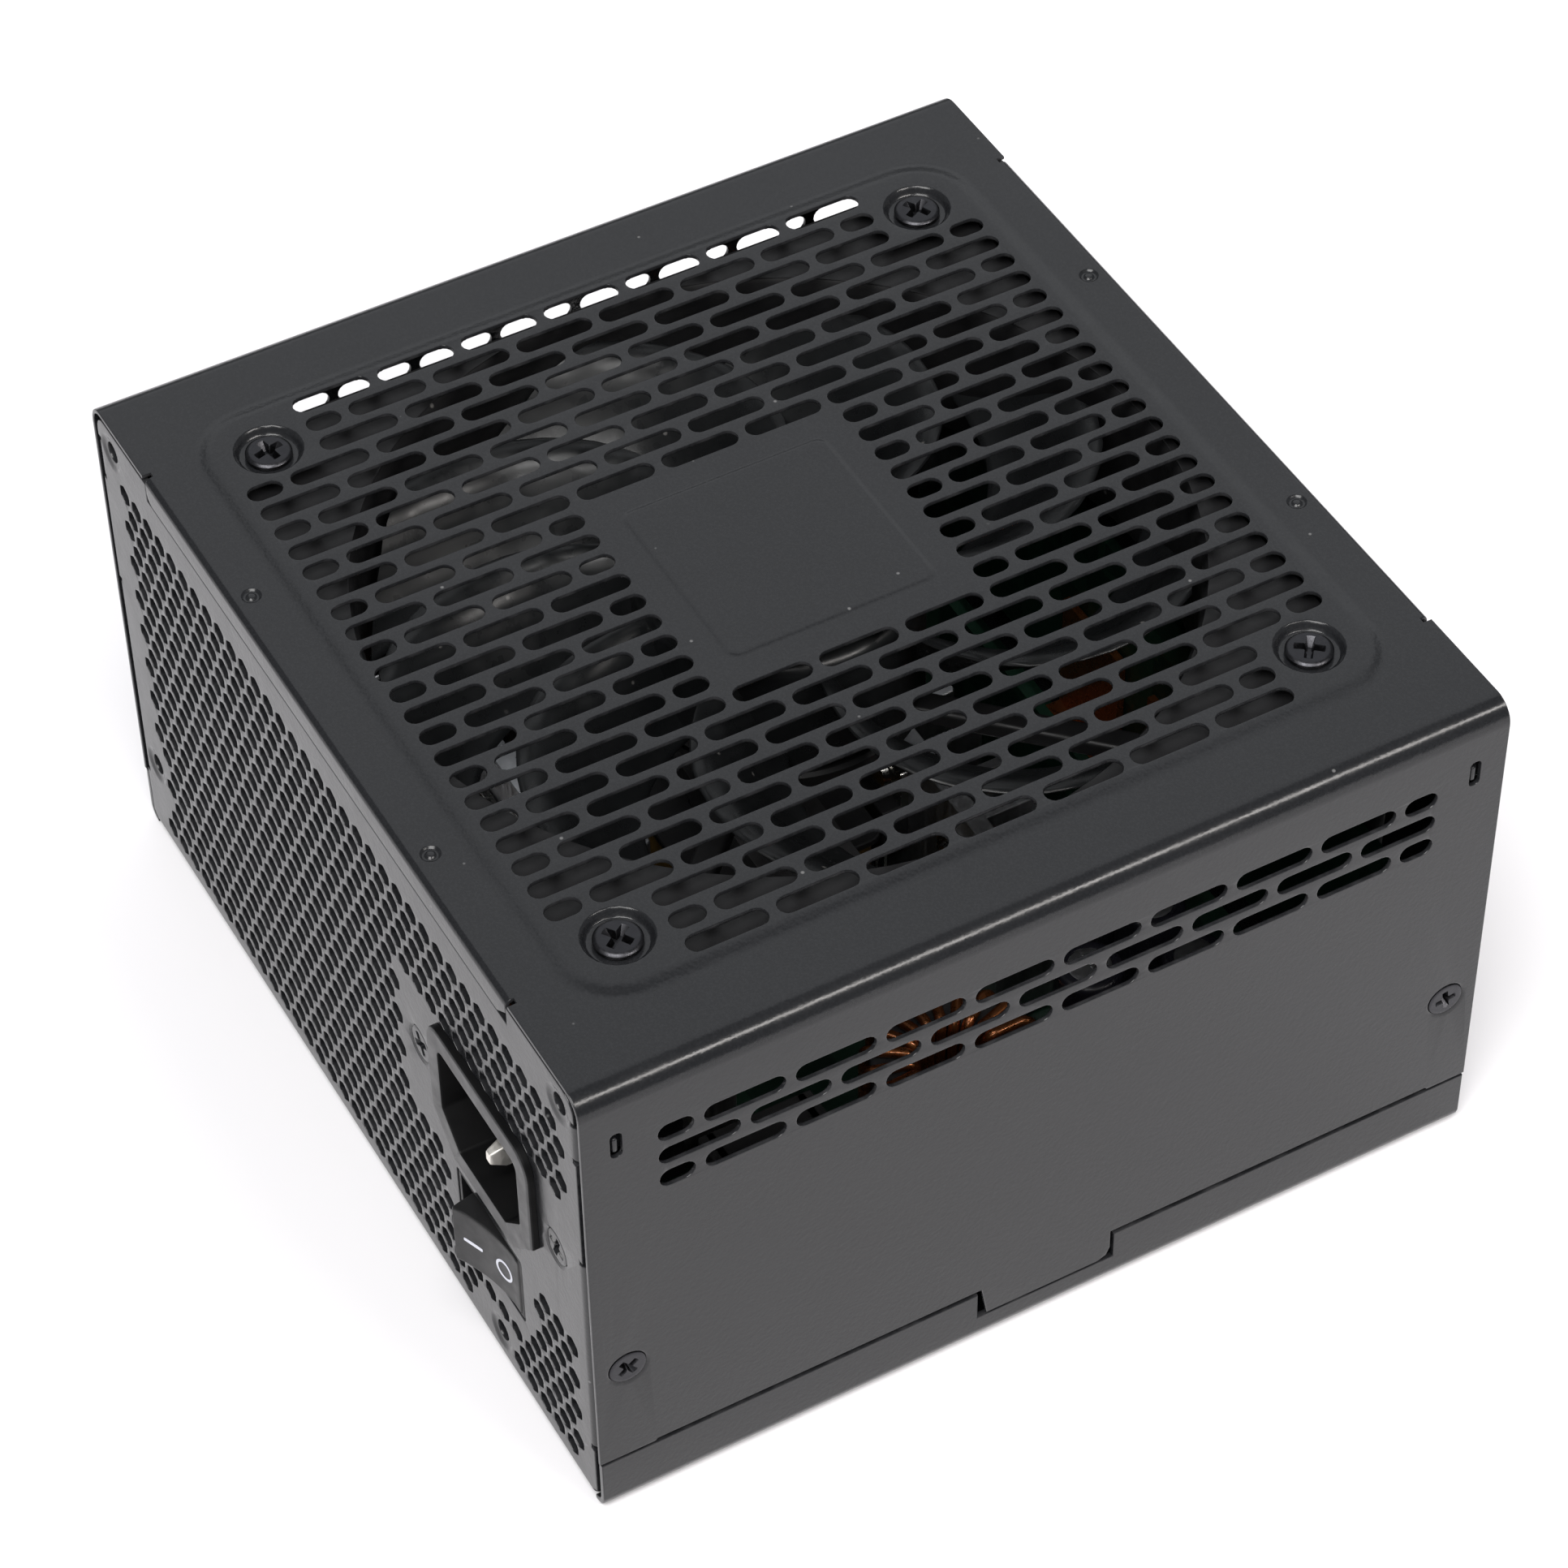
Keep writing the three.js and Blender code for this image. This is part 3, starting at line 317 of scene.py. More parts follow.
def enclosed(points, faces):
    """Six times the volume inside the faces, negative where they look inwards."""
    corners = np.array([(f[0], f[i], f[i + 1]) for f in faces for i in range(1, len(f) - 1)])
    a, b, c = points[corners[:, 0]], points[corners[:, 1]], points[corners[:, 2]]
    return float(np.sum(a * np.cross(b, c)))


class Pile:
    """Collects several closed solids into one piece."""

    def __init__(self):
        self.verts = []
        self.faces = []

    def put(self, verts, faces):
        """Adds a closed solid, turned so that its faces look outwards."""
        points = np.asarray(verts, float)
        if enclosed(points, faces) < 0:
            faces = [tuple(reversed(f)) for f in faces]
        start = len(self.verts)
        self.verts += [tuple(p) for p in points]
        self.faces += [[start + i for i in f] for f in faces]
        return self

    def moved(self, matrix, start=0):
        """Moves every point from start on by a 4 by 4 matrix."""
        for i in range(start, len(self.verts)):
            self.verts[i] = tuple(matrix @ Vector(self.verts[i]))
        return self

    def make(self, name, body, slot, **options):
        return make(name, self.verts, self.faces, body, slot, **options)


def loft(rings, closed_ends=True):
    """Joins rings that have the same number of points."""
    count = len(rings[0])
    verts = [point for ring in rings for point in ring]
    faces = []
    for r in range(len(rings) - 1):
        for i in range(count):
            j = (i + 1) % count
            faces.append((r * count + i, r * count + j, (r + 1) * count + j, (r + 1) * count + i))
    if closed_ends:
        faces.append(tuple(reversed(range(count))))
        last = (len(rings) - 1) * count
        faces.append(tuple(range(last, last + count)))
    return verts, faces


def hoop(rings):
    """Joins rings that have the same number of points, and the last one back to the first."""
    verts, faces = loft([*rings, rings[0]], False)
    count = len(rings[0]) * len(rings)
    return verts[:count], [tuple(i % count for i in f) for f in faces]


def lathe(profile, segments=48, closed=False):
    """Turns (radius, height) points about +Z; a closed profile makes a ring."""
    turn = np.linspace(0, 2 * math.pi, segments, endpoint=False)
    rings = [[(r * math.cos(a), r * math.sin(a), height) for a in turn] for r, height in profile]
    return hoop(rings) if closed else loft(rings)


def middle(low, high, *axes):
    """Middle of a box along the given axes."""
    return tuple((low[axis] + high[axis]) / 2 for axis in axes)


def halves(low, high, *axes):
    """Half the size of a box along the given axes."""
    return tuple((high[axis] - low[axis]) / 2 for axis in axes)


def circle(x, y, radius, segments=24):
    turn = np.linspace(0, 2 * math.pi, segments, endpoint=False)
    return np.stack([x + radius * np.cos(turn), y + radius * np.sin(turn)], 1)


def rounded_box(half_u, half_v, radius, steps=5, centre=(0.0, 0.0)):
    """Outline of a rectangle with round corners, anticlockwise."""
    points = []
    for number, (su, sv) in enumerate(((1, 1), (-1, 1), (-1, -1), (1, -1))):
        for a in np.linspace(number * math.pi / 2, (number + 1) * math.pi / 2, steps):
            u = su * (half_u - radius) + radius * math.cos(a)
            v = sv * (half_v - radius) + radius * math.sin(a)
            points.append((centre[0] + u, centre[1] + v))
    return np.array(points)


def round_hole(centre, radius, segments=24):
    """A circle as a function of how much it is grown."""
    return lambda grow: circle(*centre, radius + grow, segments)


def square_hole(half_u, half_v, radius, steps, centre):
    """A rounded rectangle as a function of how much it is grown."""
    return lambda grow: rounded_box(half_u + grow, half_v + grow, radius + grow, steps, centre)


def inset(points, distance):
    """An anticlockwise outline moved inwards by a small distance."""
    points = np.asarray(points, float)
    before = points - np.roll(points, 1, 0)
    after = np.roll(points, -1, 0) - points
    before /= np.linalg.norm(before, axis=1)[:, None]
    after /= np.linalg.norm(after, axis=1)[:, None]
    n1 = np.stack([-before[:, 1], before[:, 0]], 1)
    n2 = np.stack([-after[:, 1], after[:, 0]], 1)
    scale = 1.0 + np.sum(n1 * n2, 1)
    return points + distance * (n1 + n2) / np.maximum(scale, 0.4)[:, None]


def inside(points, outline):
    """True for the points that lie inside an outline."""
    a = np.asarray(outline)
    b = np.roll(a, -1, 0)
    px, py = points[:, 0][:, None], points[:, 1][:, None]
    spans = (a[:, 1] > py) != (b[:, 1] > py)
    with np.errstate(divide="ignore", invalid="ignore"):
        cross = (b[:, 0] - a[:, 0]) * (py - a[:, 1]) / (b[:, 1] - a[:, 1]) + a[:, 0]
    return (np.sum(spans & (px < cross), 1) % 2).astype(bool)


def across(outline, axis, level):
    """An outline's points in space, lying across one axis at a level."""
    return [tuple(np.insert(np.asarray(point, float), axis, level)) for point in outline]


def moulding(low, high, corner, edge=0.4, axis=2):
    """A bar between two corners with a rounded outline across one axis and rounded rims at its ends."""
    u, v = [i for i in range(3) if i != axis]
    half_u, half_v = halves(low, high, u, v)
    turns = np.linspace(0, math.pi / 2, 4)
    steps = [(low[axis] + edge * (1 - math.cos(a)), edge * (1 - math.sin(a))) for a in turns]
    steps += [(high[axis] - edge * (1 - math.cos(a)), edge * (1 - math.sin(a))) for a in turns[::-1]]
    rings = []
    for level, shrink in steps:
        radius = max(corner - shrink, 0.05)
        outline = rounded_box(half_u - shrink, half_v - shrink, radius, 5, middle(low, high, u, v))
        rings.append(across(outline, axis, level))
    return loft(rings)


def tube(path, radius, sides=8):
    """A round wire along a path."""
    path = np.asarray(path, float)
    along = np.gradient(path, axis=0)
    along /= np.linalg.norm(along, axis=1)[:, None]
    side = np.cross(along[0], (0.31, 0.17, 0.93))
    rings = []
    for point, tangent in zip(path, along):
        side = side - tangent * (side @ tangent)
        side /= np.linalg.norm(side)
        other = np.cross(tangent, side)
        turns = np.linspace(0, 2 * math.pi, sides, endpoint=False)
        rings.append([tuple(point + radius * (math.cos(a) * side + math.sin(a) * other)) for a in turns])
    return loft(rings)


RIM_STEPS = ((1.0, 0.0), (0.293, 0.293), (0.0, 1.0))


class Blank:
    """A flat blank of sheet metal in (u, v), which is cut, pressed and folded into a closed solid."""

    def __init__(self, outline, lines=()):
        self.points, self.edges, self.drops, self.labels = [], [], [], []
        self.lines = list(lines)
        self.outline = self.split(np.asarray(outline, float))
        for away, drop in RIM_STEPS:
            self.loop(self.split(inset(outline, away * RIM)), drop * RIM)
        for (u0, v0), (u1, v1) in self.lines:
            self.loop([(u0, v0), (u1, v1)], closed=False)

    def split(self, outline):
        """Adds a point to an outline wherever a fold line crosses it."""
        result = []
        for p, q in zip(outline, np.roll(outline, -1, 0)):
            result.append(tuple(p))
            cuts = []
            for (u0, v0), (u1, v1) in self.lines:
                along = 0 if u0 == u1 else 1
                level = u0 if along == 0 else v0
                low, high = sorted((v0, v1) if along == 0 else (u0, u1))
                if (p[along] - level) * (q[along] - level) < -1e-9:
                    t = (level - p[along]) / (q[along] - p[along])
                    other = p[1 - along] + t * (q[1 - along] - p[1 - along])
                    if low <= other <= high:
                        cuts.append((t, (level, other) if along == 0 else (other, level)))
            result += [point for _, point in sorted(cuts)]
        return np.array(result)

    def loop(self, points, drop=0.0, label=-1, closed=True):
        start, count = len(self.points), len(points)
        self.points += [tuple(p) for p in points]
        self.drops += [drop] * count
        self.labels += [label] * count
        self.edges += [(start + i, start + i + 1) for i in range(count - 1)]
        if closed:
            self.edges.append((start + count - 1, start))

    def hole(self, outline_at, rim=RIM):
        """Cuts a convex hole with rounded rims; outline_at(grow) gives its outline grown by grow."""
        label = len(self.points)
        for away, drop in RIM_STEPS:
            self.loop(outline_at(away * rim), drop * rim, label if away == 0 else -1)

    def fold(self, shape, height=None, under=None, flip=False, thickness=TRAY_SHEET):
        """The folded solid: shape(u, v, n) places points that stand n out of the sheet's outer face."""
        coords, _, tris, origins, _, _ = delaunay_2d_cdt(
            [Vector(p) for p in self.points], self.edges, [], 0, 1e-5, True)
        uv = np.array([tuple(c) for c in coords])
        drops = np.array([max([self.drops[i] for i in o], default=0.0) for o in origins])
        labels = np.array([max([self.labels[i] for i in o], default=-1) for o in origins])
        tris = np.array(tris)
        kept = inside(uv[tris].mean(1), self.outline)
        same = (labels[tris[:, 0]] == labels[tris[:, 1]]) & (labels[tris[:, 1]] == labels[tris[:, 2]])
        tris = tris[kept & ~(same & (labels[tris[:, 0]] >= 0))]
        u, v = uv[:, 0], uv[:, 1]
        top = np.zeros(len(u)) if height is None else height(u, v)
        low = top if under is None else under(u, v)
        outer = shape(u, v, top - drops)
        inner = shape(u, v, low - thickness + drops)
        count = len(u)
        faces = [tuple(t) for t in tris.tolist()]
        sides = dict.fromkeys(side for a, b, c in faces for side in ((a, b), (b, c), (c, a)))
        faces += [(c + count, b + count, a + count) for a, b, c in faces]
        faces += [(q, p, p + count, q + count) for p, q in sides if (q, p) not in sides]
        if flip:
            faces = [tuple(reversed(f)) for f in faces]
        verts = np.concatenate([outer, inner])
        used = sorted({i for f in faces for i in f})
        renumber = {old: new for new, old in enumerate(used)}
        self.edge_weight = np.concatenate([drops, drops])[used] / RIM
        return verts[used], [[renumber[i] for i in f] for f in faces]


def upright(blank, front, thickness):
    """A blank in x, z standing as a plate whose face at +Y is at front."""
    return blank.fold(lambda u, v, n: np.stack([u, front + n, v], 1), thickness=thickness)


def mark_edges(piece, weight):
    """Stores how close each point is to a cut edge, for the paint's wear."""
    layer = piece.data.attributes.new("edge", "FLOAT", "POINT")
    layer.data.foreach_set("value", np.clip(weight, 0, 1).astype(np.float32))


# ---------------------------------------------------------------- pressed shapes

def smooth(t):
    t = np.clip(t, 0, 1)
    return t * t * (3 - 2 * t)


def square_distance(u, v, half, radius):
    """Distance outside a rounded square, negative inside it."""
    qu, qv = np.abs(u) - (half - radius), np.abs(v) - (half - radius)
    away = np.hypot(np.maximum(qu, 0), np.maximum(qv, 0))
    return away + np.minimum(np.maximum(qu, qv), 0) - radius


class Step:
    """A height change across a rounded square or a circle, with the creases that carry it."""

    def __init__(self, centre, half, radius, width, rise, count=6):
        self.centre, self.half, self.radius = centre, half, radius
        self.width, self.rise = width, rise
        self.offsets = np.linspace(width / 2, -width / 2, count)

    def height(self, u, v):
        away = square_distance(u - self.centre[0], v - self.centre[1], self.half, self.radius)
        return self.rise * smooth(0.5 - away / self.width)

    def crease(self, blank, steps=9):
        for offset in self.offsets:
            half, radius = self.half + offset, max(self.radius + offset, 0.05)
            if self.half == self.radius:
                blank.loop(circle(*self.centre, half, 4 * steps))
            else:
                blank.loop(rounded_box(half, half, radius, steps, self.centre))


def slot_outline(u, v0, v1, width, segments=8):
    """Outline of a slot along v with round ends, as a function of how much it is grown."""
    def at(grow):
        radius = width / 2 + grow
        outline = []
        for side, end in ((1, v1 - width / 2), (-1, v0 + width / 2)):
            for a in np.linspace(0, math.pi, segments + 1):
                outline.append((u + side * radius * math.cos(a), end + side * radius * math.sin(a)))
        return outline
    return at


def slot_stretches(odd, reach, windows):
    """Where the slots of one row lie along v; odd and even rows are staggered by half a step."""
    step = SLOT_LENGTH + SLOT_WEB
    stretches = []
    for low, high in windows:
        for n in range(-5, 6):
            centre = step * (n if odd else n + 0.5)
            v0 = max(centre - SLOT_LENGTH / 2, low, -reach)
            v1 = min(centre + SLOT_LENGTH / 2, high, reach)
            if v1 - v0 > SLOT_WIDTH:
                stretches.append((v0, v1))
    return stretches


# ---------------------------------------------------------------- cover

SIDE_BEND_START = HALF_X - COVER_BEND
SIDE_START = SIDE_BEND_START + COVER_BEND * math.pi / 2
LIP_START = HALF_Y - LIP_BEND
LIP_STRAIGHT = LIP_START + LIP_BEND * math.pi / 2
LIP_END = LIP_STRAIGHT + (PLATE_TOP - LIP_BEND - LIP_LOW)


def side_u(z):
    """Where a height on the cover's side lies on the blank."""
    return SIDE_START + (PLATE_TOP - COVER_BEND - z)


def fold_cover(u, v, n):
    """Bends the blank down at both sides, and its lips down over the two walls."""
    side, across = np.sign(u), np.abs(u)
    turn = np.clip((across - SIDE_BEND_START) / COVER_BEND, 0, math.pi / 2)
    down = np.maximum(across - SIDE_START, 0)
    x = np.minimum(across, SIDE_BEND_START) + (COVER_BEND + n) * np.sin(turn)
    z = PLATE_TOP - COVER_BEND + (COVER_BEND + n) * np.cos(turn) - down
    y = v.copy()
    lip = (across < SIDE_BEND_START) & (np.abs(v) > LIP_START) & (u > LIP_X[0] - 0.5) & (u < LIP_X[1] + 0.5)
    roll = np.clip((np.abs(v) - LIP_START) / LIP_BEND, 0, math.pi / 2)
    lip_y = np.sign(v) * (LIP_START + (LIP_BEND + n) * np.sin(roll))
    lip_z = PLATE_TOP - LIP_BEND + (LIP_BEND + n) * np.cos(roll) - np.maximum(np.abs(v) - LIP_STRAIGHT, 0)
    return np.stack([side * x, np.where(lip, lip_y, y), np.where(lip, lip_z, z)], 1)


def cover_outline():
    """The cover's blank, anticlockwise from the lower left corner."""
    skirt, mid, tab = side_u(SKIRT_LOW), side_u(SKIRT_LOW + 0.4), side_u(TAB_LOW)
    mid_start, mid_end, chamfer = -61.5, 63.5, 0.3
    notch = HALF_Y - LIP_BEND - 0.2
    left, right = LIP_X
    lower = [
        (-skirt, -HALF_Y), (left - RELIEF_WIDTH, -HALF_Y), (left - RELIEF_WIDTH, -notch), (left, -notch),
        (left, -LIP_END + 1.6), (left + 0.5, -LIP_END + 0.5), (left + 1.6, -LIP_END),
        (right - 2.6, -LIP_END), (right, -LIP_END + 2.0), (right, -notch),
        (right + RELIEF_WIDTH, -notch), (right + RELIEF_WIDTH, -HALF_Y), (skirt, -HALF_Y),
    ]
    side = [
        (skirt, mid_start), (mid, mid_start + chamfer), (mid, -TAB_HALF), (tab, -TAB_HALF + 0.9),
        (tab, TAB_HALF - 2.0), (tab - 0.6, TAB_HALF - 0.6), (tab - 2.0, TAB_HALF), (mid, TAB_HALF),
        (mid, mid_end - chamfer), (skirt, mid_end),
    ]
    upper = [(u, -v) for u, v in reversed(lower)]
    other = [(-u, v) for u, v in reversed(side)]
    return np.array(lower + side + upper + other)


def cover_lines():
    """Fold lines of the side bends and the lips."""
    lines = []
    for step in np.linspace(0, 1, 9):
        u = SIDE_BEND_START + step * (SIDE_START - SIDE_BEND_START)
        lines += [((s * u, -HALF_Y), (s * u, HALF_Y)) for s in (-1, 1)]
    for step in np.linspace(0, 1, 6):
        v = LIP_START + step * (LIP_STRAIGHT - LIP_START)
        lines += [((LIP_X[0], s * v), (LIP_X[1], s * v)) for s in (-1, 1)]
    return lines


def cut_sink(blank, centre, head, hole):
    """A countersunk screw's hole, with creases for its cone."""
    for radius in (head, SCREW_HEAD):
        blank.loop(circle(*centre, radius, 28))
    blank.hole(round_hole(centre, hole, 28), 0.05)


def countersink_height(centres, head, hole, depth):
    """Height of the cones pressed round the screw holes."""
    def height(u, v):
        result = np.zeros(len(u))
        for cu, cv in centres:
            r = np.hypot(u - cu, v - cv)
            result -= depth * np.clip((head - r) / (head - hole), 0, 1)
        return result
    return height


def cover_steps():
    """The raised square with its badge, the dimples of the fan screws, and the small rings beside it."""
    steps = [Step((0, 0), half=61.5, radius=8.5, width=3.0, rise=PANEL_RISE),
             Step((0, 0), half=16.0, radius=1.6, width=1.0, rise=0.2, count=5)]
    for corner in CORNERS:
        steps.append(Step(corner, half=4.6, radius=4.6, width=1.1, rise=-1.25))
    for x in (-27.5, 27.5):
        for y in (-66.8, 66.8):
            steps.append(Step((x, y), half=1.3, radius=1.3, width=0.5, rise=-0.35, count=4))
            steps.append(Step((x, y), half=0.65, radius=0.65, width=0.4, rise=0.3, count=4))
    return steps


def cut_vents(blank):
    """The slots of the top round its blank middle, and the rows of slots in both sides."""
    for column in range(-LAST_COLUMN, LAST_COLUMN + 1):
        reach = SLOT_REACH if abs(column) <= LAST_LONG_COLUMN else SHORT_REACH
        beside = [(-reach, -CENTRE_HALF), (CENTRE_HALF, reach)]
        windows = beside if abs(column) <= LAST_SPLIT_COLUMN else [(-reach, reach)]
        for v0, v1 in slot_stretches(column % 2 == 1, reach, windows):
            blank.hole(slot_outline(column * COLUMN_PITCH, v0, v1, SLOT_WIDTH))
    for side, lift in ((-1, FAR_SIDE_LIFT), (1, 0.0)):
        for z, odd in SIDE_ROWS:
            for v0, v1 in slot_stretches(odd, SLOT_REACH, [(-SLOT_REACH, SLOT_REACH)]):
                blank.hole(slot_outline(side * side_u(z + lift), v0, v1, SLOT_WIDTH))


def build_cover():
    blank = Blank(cover_outline(), cover_lines())
    steps = cover_steps()
    for step in steps:
        step.crease(blank, 9 if step.half > 10 else 6)
    for corner in CORNERS:
        blank.hole(round_hole(corner, FAN_HOLE_R, 20), 0.1)
    cut_vents(blank)
    cone = (3.35, 1.95, 0.95)
    sinks = []
    for side in (-1, 1):
        for end in (-1, 1):
            keyhole = (side * side_u(TONGUE[1]), end * TONGUE[0])
            blank.hole(square_hole(*KEYHOLE_HALF, 0.7, 4, keyhole), 0.12)
            sinks.append((side * side_u(SIDE_SCREW[1]), end * SIDE_SCREW[0]))
            cut_sink(blank, sinks[-1], cone[0], 1.9)
    sunk = countersink_height(sinks, *cone)

    def pressed(u, v):
        return sum(step.height(u, v) for step in steps)

    def outer(u, v):
        return pressed(u, v) + sunk(u, v)

    verts, faces = blank.fold(fold_cover, outer, pressed, thickness=COVER_SHEET)
    piece = make("cover_shell", verts, faces, "case", "case_paint", ["cover"])
    mark_edges(piece, blank.edge_weight)


# ---------------------------------------------------------------- tray

WALL_BEND = 2.0
FLOOR_END = HALF_Y - WALL_BEND
WALL_START = FLOOR_END + WALL_BEND * math.pi / 2
WALL_X = 73.3  # half the width of a wall
WALL_TOP = TRAY_TOP + 0.25
LIP_GAP = 0.02
FLANGE_BEND = 2.5
FLANGE_START = HALF_X - FLANGE_BEND
FLANGE_TOP = 10.0
CORNER_RELIEF = 3.4
FLAP_BEND, FLAP_LENGTH = 1.2, 9.5
FLAP_START = 72.5
FLAPS = ((12.5, 51.5), (73.0, 79.5))  # heights between which a flap is bent in from a wall's end
ATX_HOLES = ((-69, 80), (69, 80), (45, 6), (-69, 16))
HONEY_PITCH, HONEY_FLATS = 4.0, 3.05
HONEY_ROW = HONEY_PITCH * math.sqrt(0.75)
HONEY_LEFT, HONEY_TOP = -65.5, 74.6
HONEY_ROWS, HONEY_COLUMNS = 21, 34


def wall_v(z):
    """Where a height on a wall of the tray lies on the blank; the mains panel has it negative."""
    return WALL_START + z - WALL_BEND


def fold_tray(u, v, n):
    """Bends the side flanges and the two walls up from the floor, and the flaps off the walls' ends."""
    side, across = np.sign(u), np.abs(u)
    on_wall = np.abs(v) > HALF_Y + 0.2
    height = wall_v(0)
    in_flap = np.zeros(len(u), bool)
    for low, high in FLAPS:
        in_flap |= on_wall & (np.abs(v) - height > low - 0.1) & (np.abs(v) - height < high + 0.1)
    start = np.where(on_wall, FLAP_START, FLANGE_START)
    bend = np.where(on_wall, FLAP_BEND, FLANGE_BEND)
    bent = (across > start) & (in_flap | ~on_wall)
    turn = np.clip((across - start) / bend, 0, math.pi / 2)
    rest = np.maximum(across - start - bend * math.pi / 2, 0)
    x = np.where(bent, start + (bend + n) * np.sin(turn), across)
    out = np.where(bent, (bend + n) * np.cos(turn) - bend - rest, n)
    end, along = np.sign(v), np.abs(v)
    straight = bent & ~on_wall
    roll = np.where(straight, 0, np.clip((along - FLOOR_END) / WALL_BEND, 0, math.pi / 2))
    up = np.where(straight, 0, np.maximum(along - WALL_START, 0))
    y = np.where(straight, along, np.minimum(along, FLOOR_END) + (WALL_BEND + out) * np.sin(roll))
    z = np.where(straight, -out, WALL_BEND - (WALL_BEND + out) * np.cos(roll) + up)
    return np.stack([side * x, end * y, z], 1)


def tray_outline():
    """A quarter of the tray's blank from the middle of a side flange to the middle of a wall, mirrored."""
    flange = FLANGE_START + FLANGE_BEND * math.pi / 2 + FLANGE_TOP - FLANGE_BEND
    notch = flange - 5.0
    relief = FLANGE_START - 0.35
    flap_end = FLAP_START + FLAP_BEND * math.pi / 2 + FLAP_LENGTH
    top = wall_v(WALL_TOP)

    def quarter(lip_x):
        points = [(notch, TAB_HALF + 0.5), (flange, TAB_HALF + 0.5), (flange, HALF_Y - 0.2),
                  (FLANGE_START + 0.05, HALF_Y - 0.2), (FLANGE_START + 0.05, HALF_Y - CORNER_RELIEF),
                  (relief, HALF_Y - CORNER_RELIEF), (relief, HALF_Y + 1.0), (WALL_X, wall_v(2.6))]
        for low, high in FLAPS:
            under, over = wall_v(low - RELIEF_WIDTH), wall_v(high + RELIEF_WIDTH)
            points += [(WALL_X, under), (FLAP_START, under), (FLAP_START, wall_v(low)),
                       (flap_end, wall_v(low)), (flap_end, wall_v(high)), (FLAP_START, wall_v(high)),
                       (FLAP_START, over), (WALL_X, over)]
        corner = rounded_box(3, 3, 2.8, 6, (WALL_X - 3, top - 3))[:6]
        points += [tuple(p) for p in corner]
        points += [(lip_x + LIP_GAP, top), (lip_x + LIP_GAP, wall_v(LIP_LOW - LIP_GAP))]
        return points

    right, left = quarter(LIP_X[1]), quarter(-LIP_X[0])
    outline = right + [(-u, v) for u, v in reversed(left)]
    outline += [(-u, -v) for u, v in left] + [(u, -v) for u, v in reversed(right)]
    return np.array(outline)


def tray_lines():
    """Fold lines of the walls, the flanges and the flaps."""
    lines = []
    for step in np.linspace(0, 1, 7):
        v = FLOOR_END + step * (WALL_START - FLOOR_END)
        lines += [((-FLANGE_START + 0.35, s * v), (FLANGE_START - 0.35, s * v)) for s in (-1, 1)]
    for step in np.linspace(0, 1, 8):
        u = FLANGE_START + step * FLANGE_BEND * math.pi / 2
        lines += [((s * u, -HALF_Y + 0.2), (s * u, HALF_Y - 0.2)) for s in (-1, 1)]
    for step in np.linspace(0, 1, 5):
        u = FLAP_START + step * FLAP_BEND * math.pi / 2
        for low, high in FLAPS:
            for s in (-1, 1):
                lines += [((s * u, e * wall_v(low)), (s * u, e * wall_v(high))) for e in (-1, 1)]
    return lines


def honeycomb_centres():
    """Centres of the mains panel's holes in x, z, with the blank areas left out."""
    inlet_rows = {row: (19.0, WALL_X) for row in range(6, 14)}
    switch_rows = {14: (28.5, 59.5), 15: (30.5, 57.5), 16: (28.5, 59.5), 17: (30.5, 57.5), 18: (32.5, 55.5)}
    hole_rows = {20: (38.0, 50.0), 21: (36.0, 48.0)}
    blank_rows = inlet_rows | switch_rows | hole_rows
    tapped_x, tapped_z = ATX_HOLES[-1]
    centres = []
    for row in range(1, HONEY_ROWS + 1):
        z = HONEY_TOP - (row - 1) * HONEY_ROW
        shift = 0.0 if row % 2 else HONEY_PITCH / 2
        low, high = blank_rows.get(row, (0.0, 0.0))
        for column in range(HONEY_COLUMNS):
            x = HONEY_LEFT + shift + column * HONEY_PITCH
            if not low < x < high and math.hypot(x - tapped_x, z - tapped_z) >= 5.5:
                centres.append((x, z))
    return centres


def hexagon(u, v, flats, corner=0.55):
    """Rounded hexagon with flats left and right, as a function of how much it is grown."""
    def at(grow):
        radius = corner + grow
        reach = (flats / 2 - corner) * 2 / math.sqrt(3)
        points = []
        for number in range(6):
            turn = math.pi * (number / 3 + 1 / 6)
            for a in (turn - math.pi / 6, turn, turn + math.pi / 6):
                points.append((u + reach * math.cos(turn) + radius * math.cos(a),
                               v + reach * math.sin(turn) + radius * math.sin(a)))
        return points
    return at


INLET_LOW, INLET_HIGH = box_mm("inlet_housing")
INLET_X, INLET_Z = middle(INLET_LOW, INLET_HIGH, 0, 2)
SWITCH_LOW, SWITCH_HIGH = box_mm("switch_housing")
SWITCH_X, SWITCH_Z = middle(SWITCH_LOW, SWITCH_HIGH, 0)[0], 24.2


def rounded_corners(corners, steps=6):
    """Outline through (x, z, radius) corners given anticlockwise, each corner rounded."""
    points = []
    for i, (x, z, radius) in enumerate(corners):
        here = np.array((x, z), float)
        before = here - corners[i - 1][:2]
        after = np.array(corners[(i + 1) % len(corners)][:2]) - here
        before /= np.linalg.norm(before)
        after /= np.linalg.norm(after)
        turn = math.atan2(before[0] * after[1] - before[1] * after[0], before @ after)
        inward = np.array((-before[1] - after[1], before[0] + after[0]))
        centre = here + inward / np.linalg.norm(inward) * radius / math.cos(turn / 2)
        first = math.atan2(-before[0], before[1])
        for a in first + np.linspace(0, turn, steps):
            points.append((centre[0] + radius * math.cos(a), centre[1] + radius * math.sin(a)))
    return np.array(points)


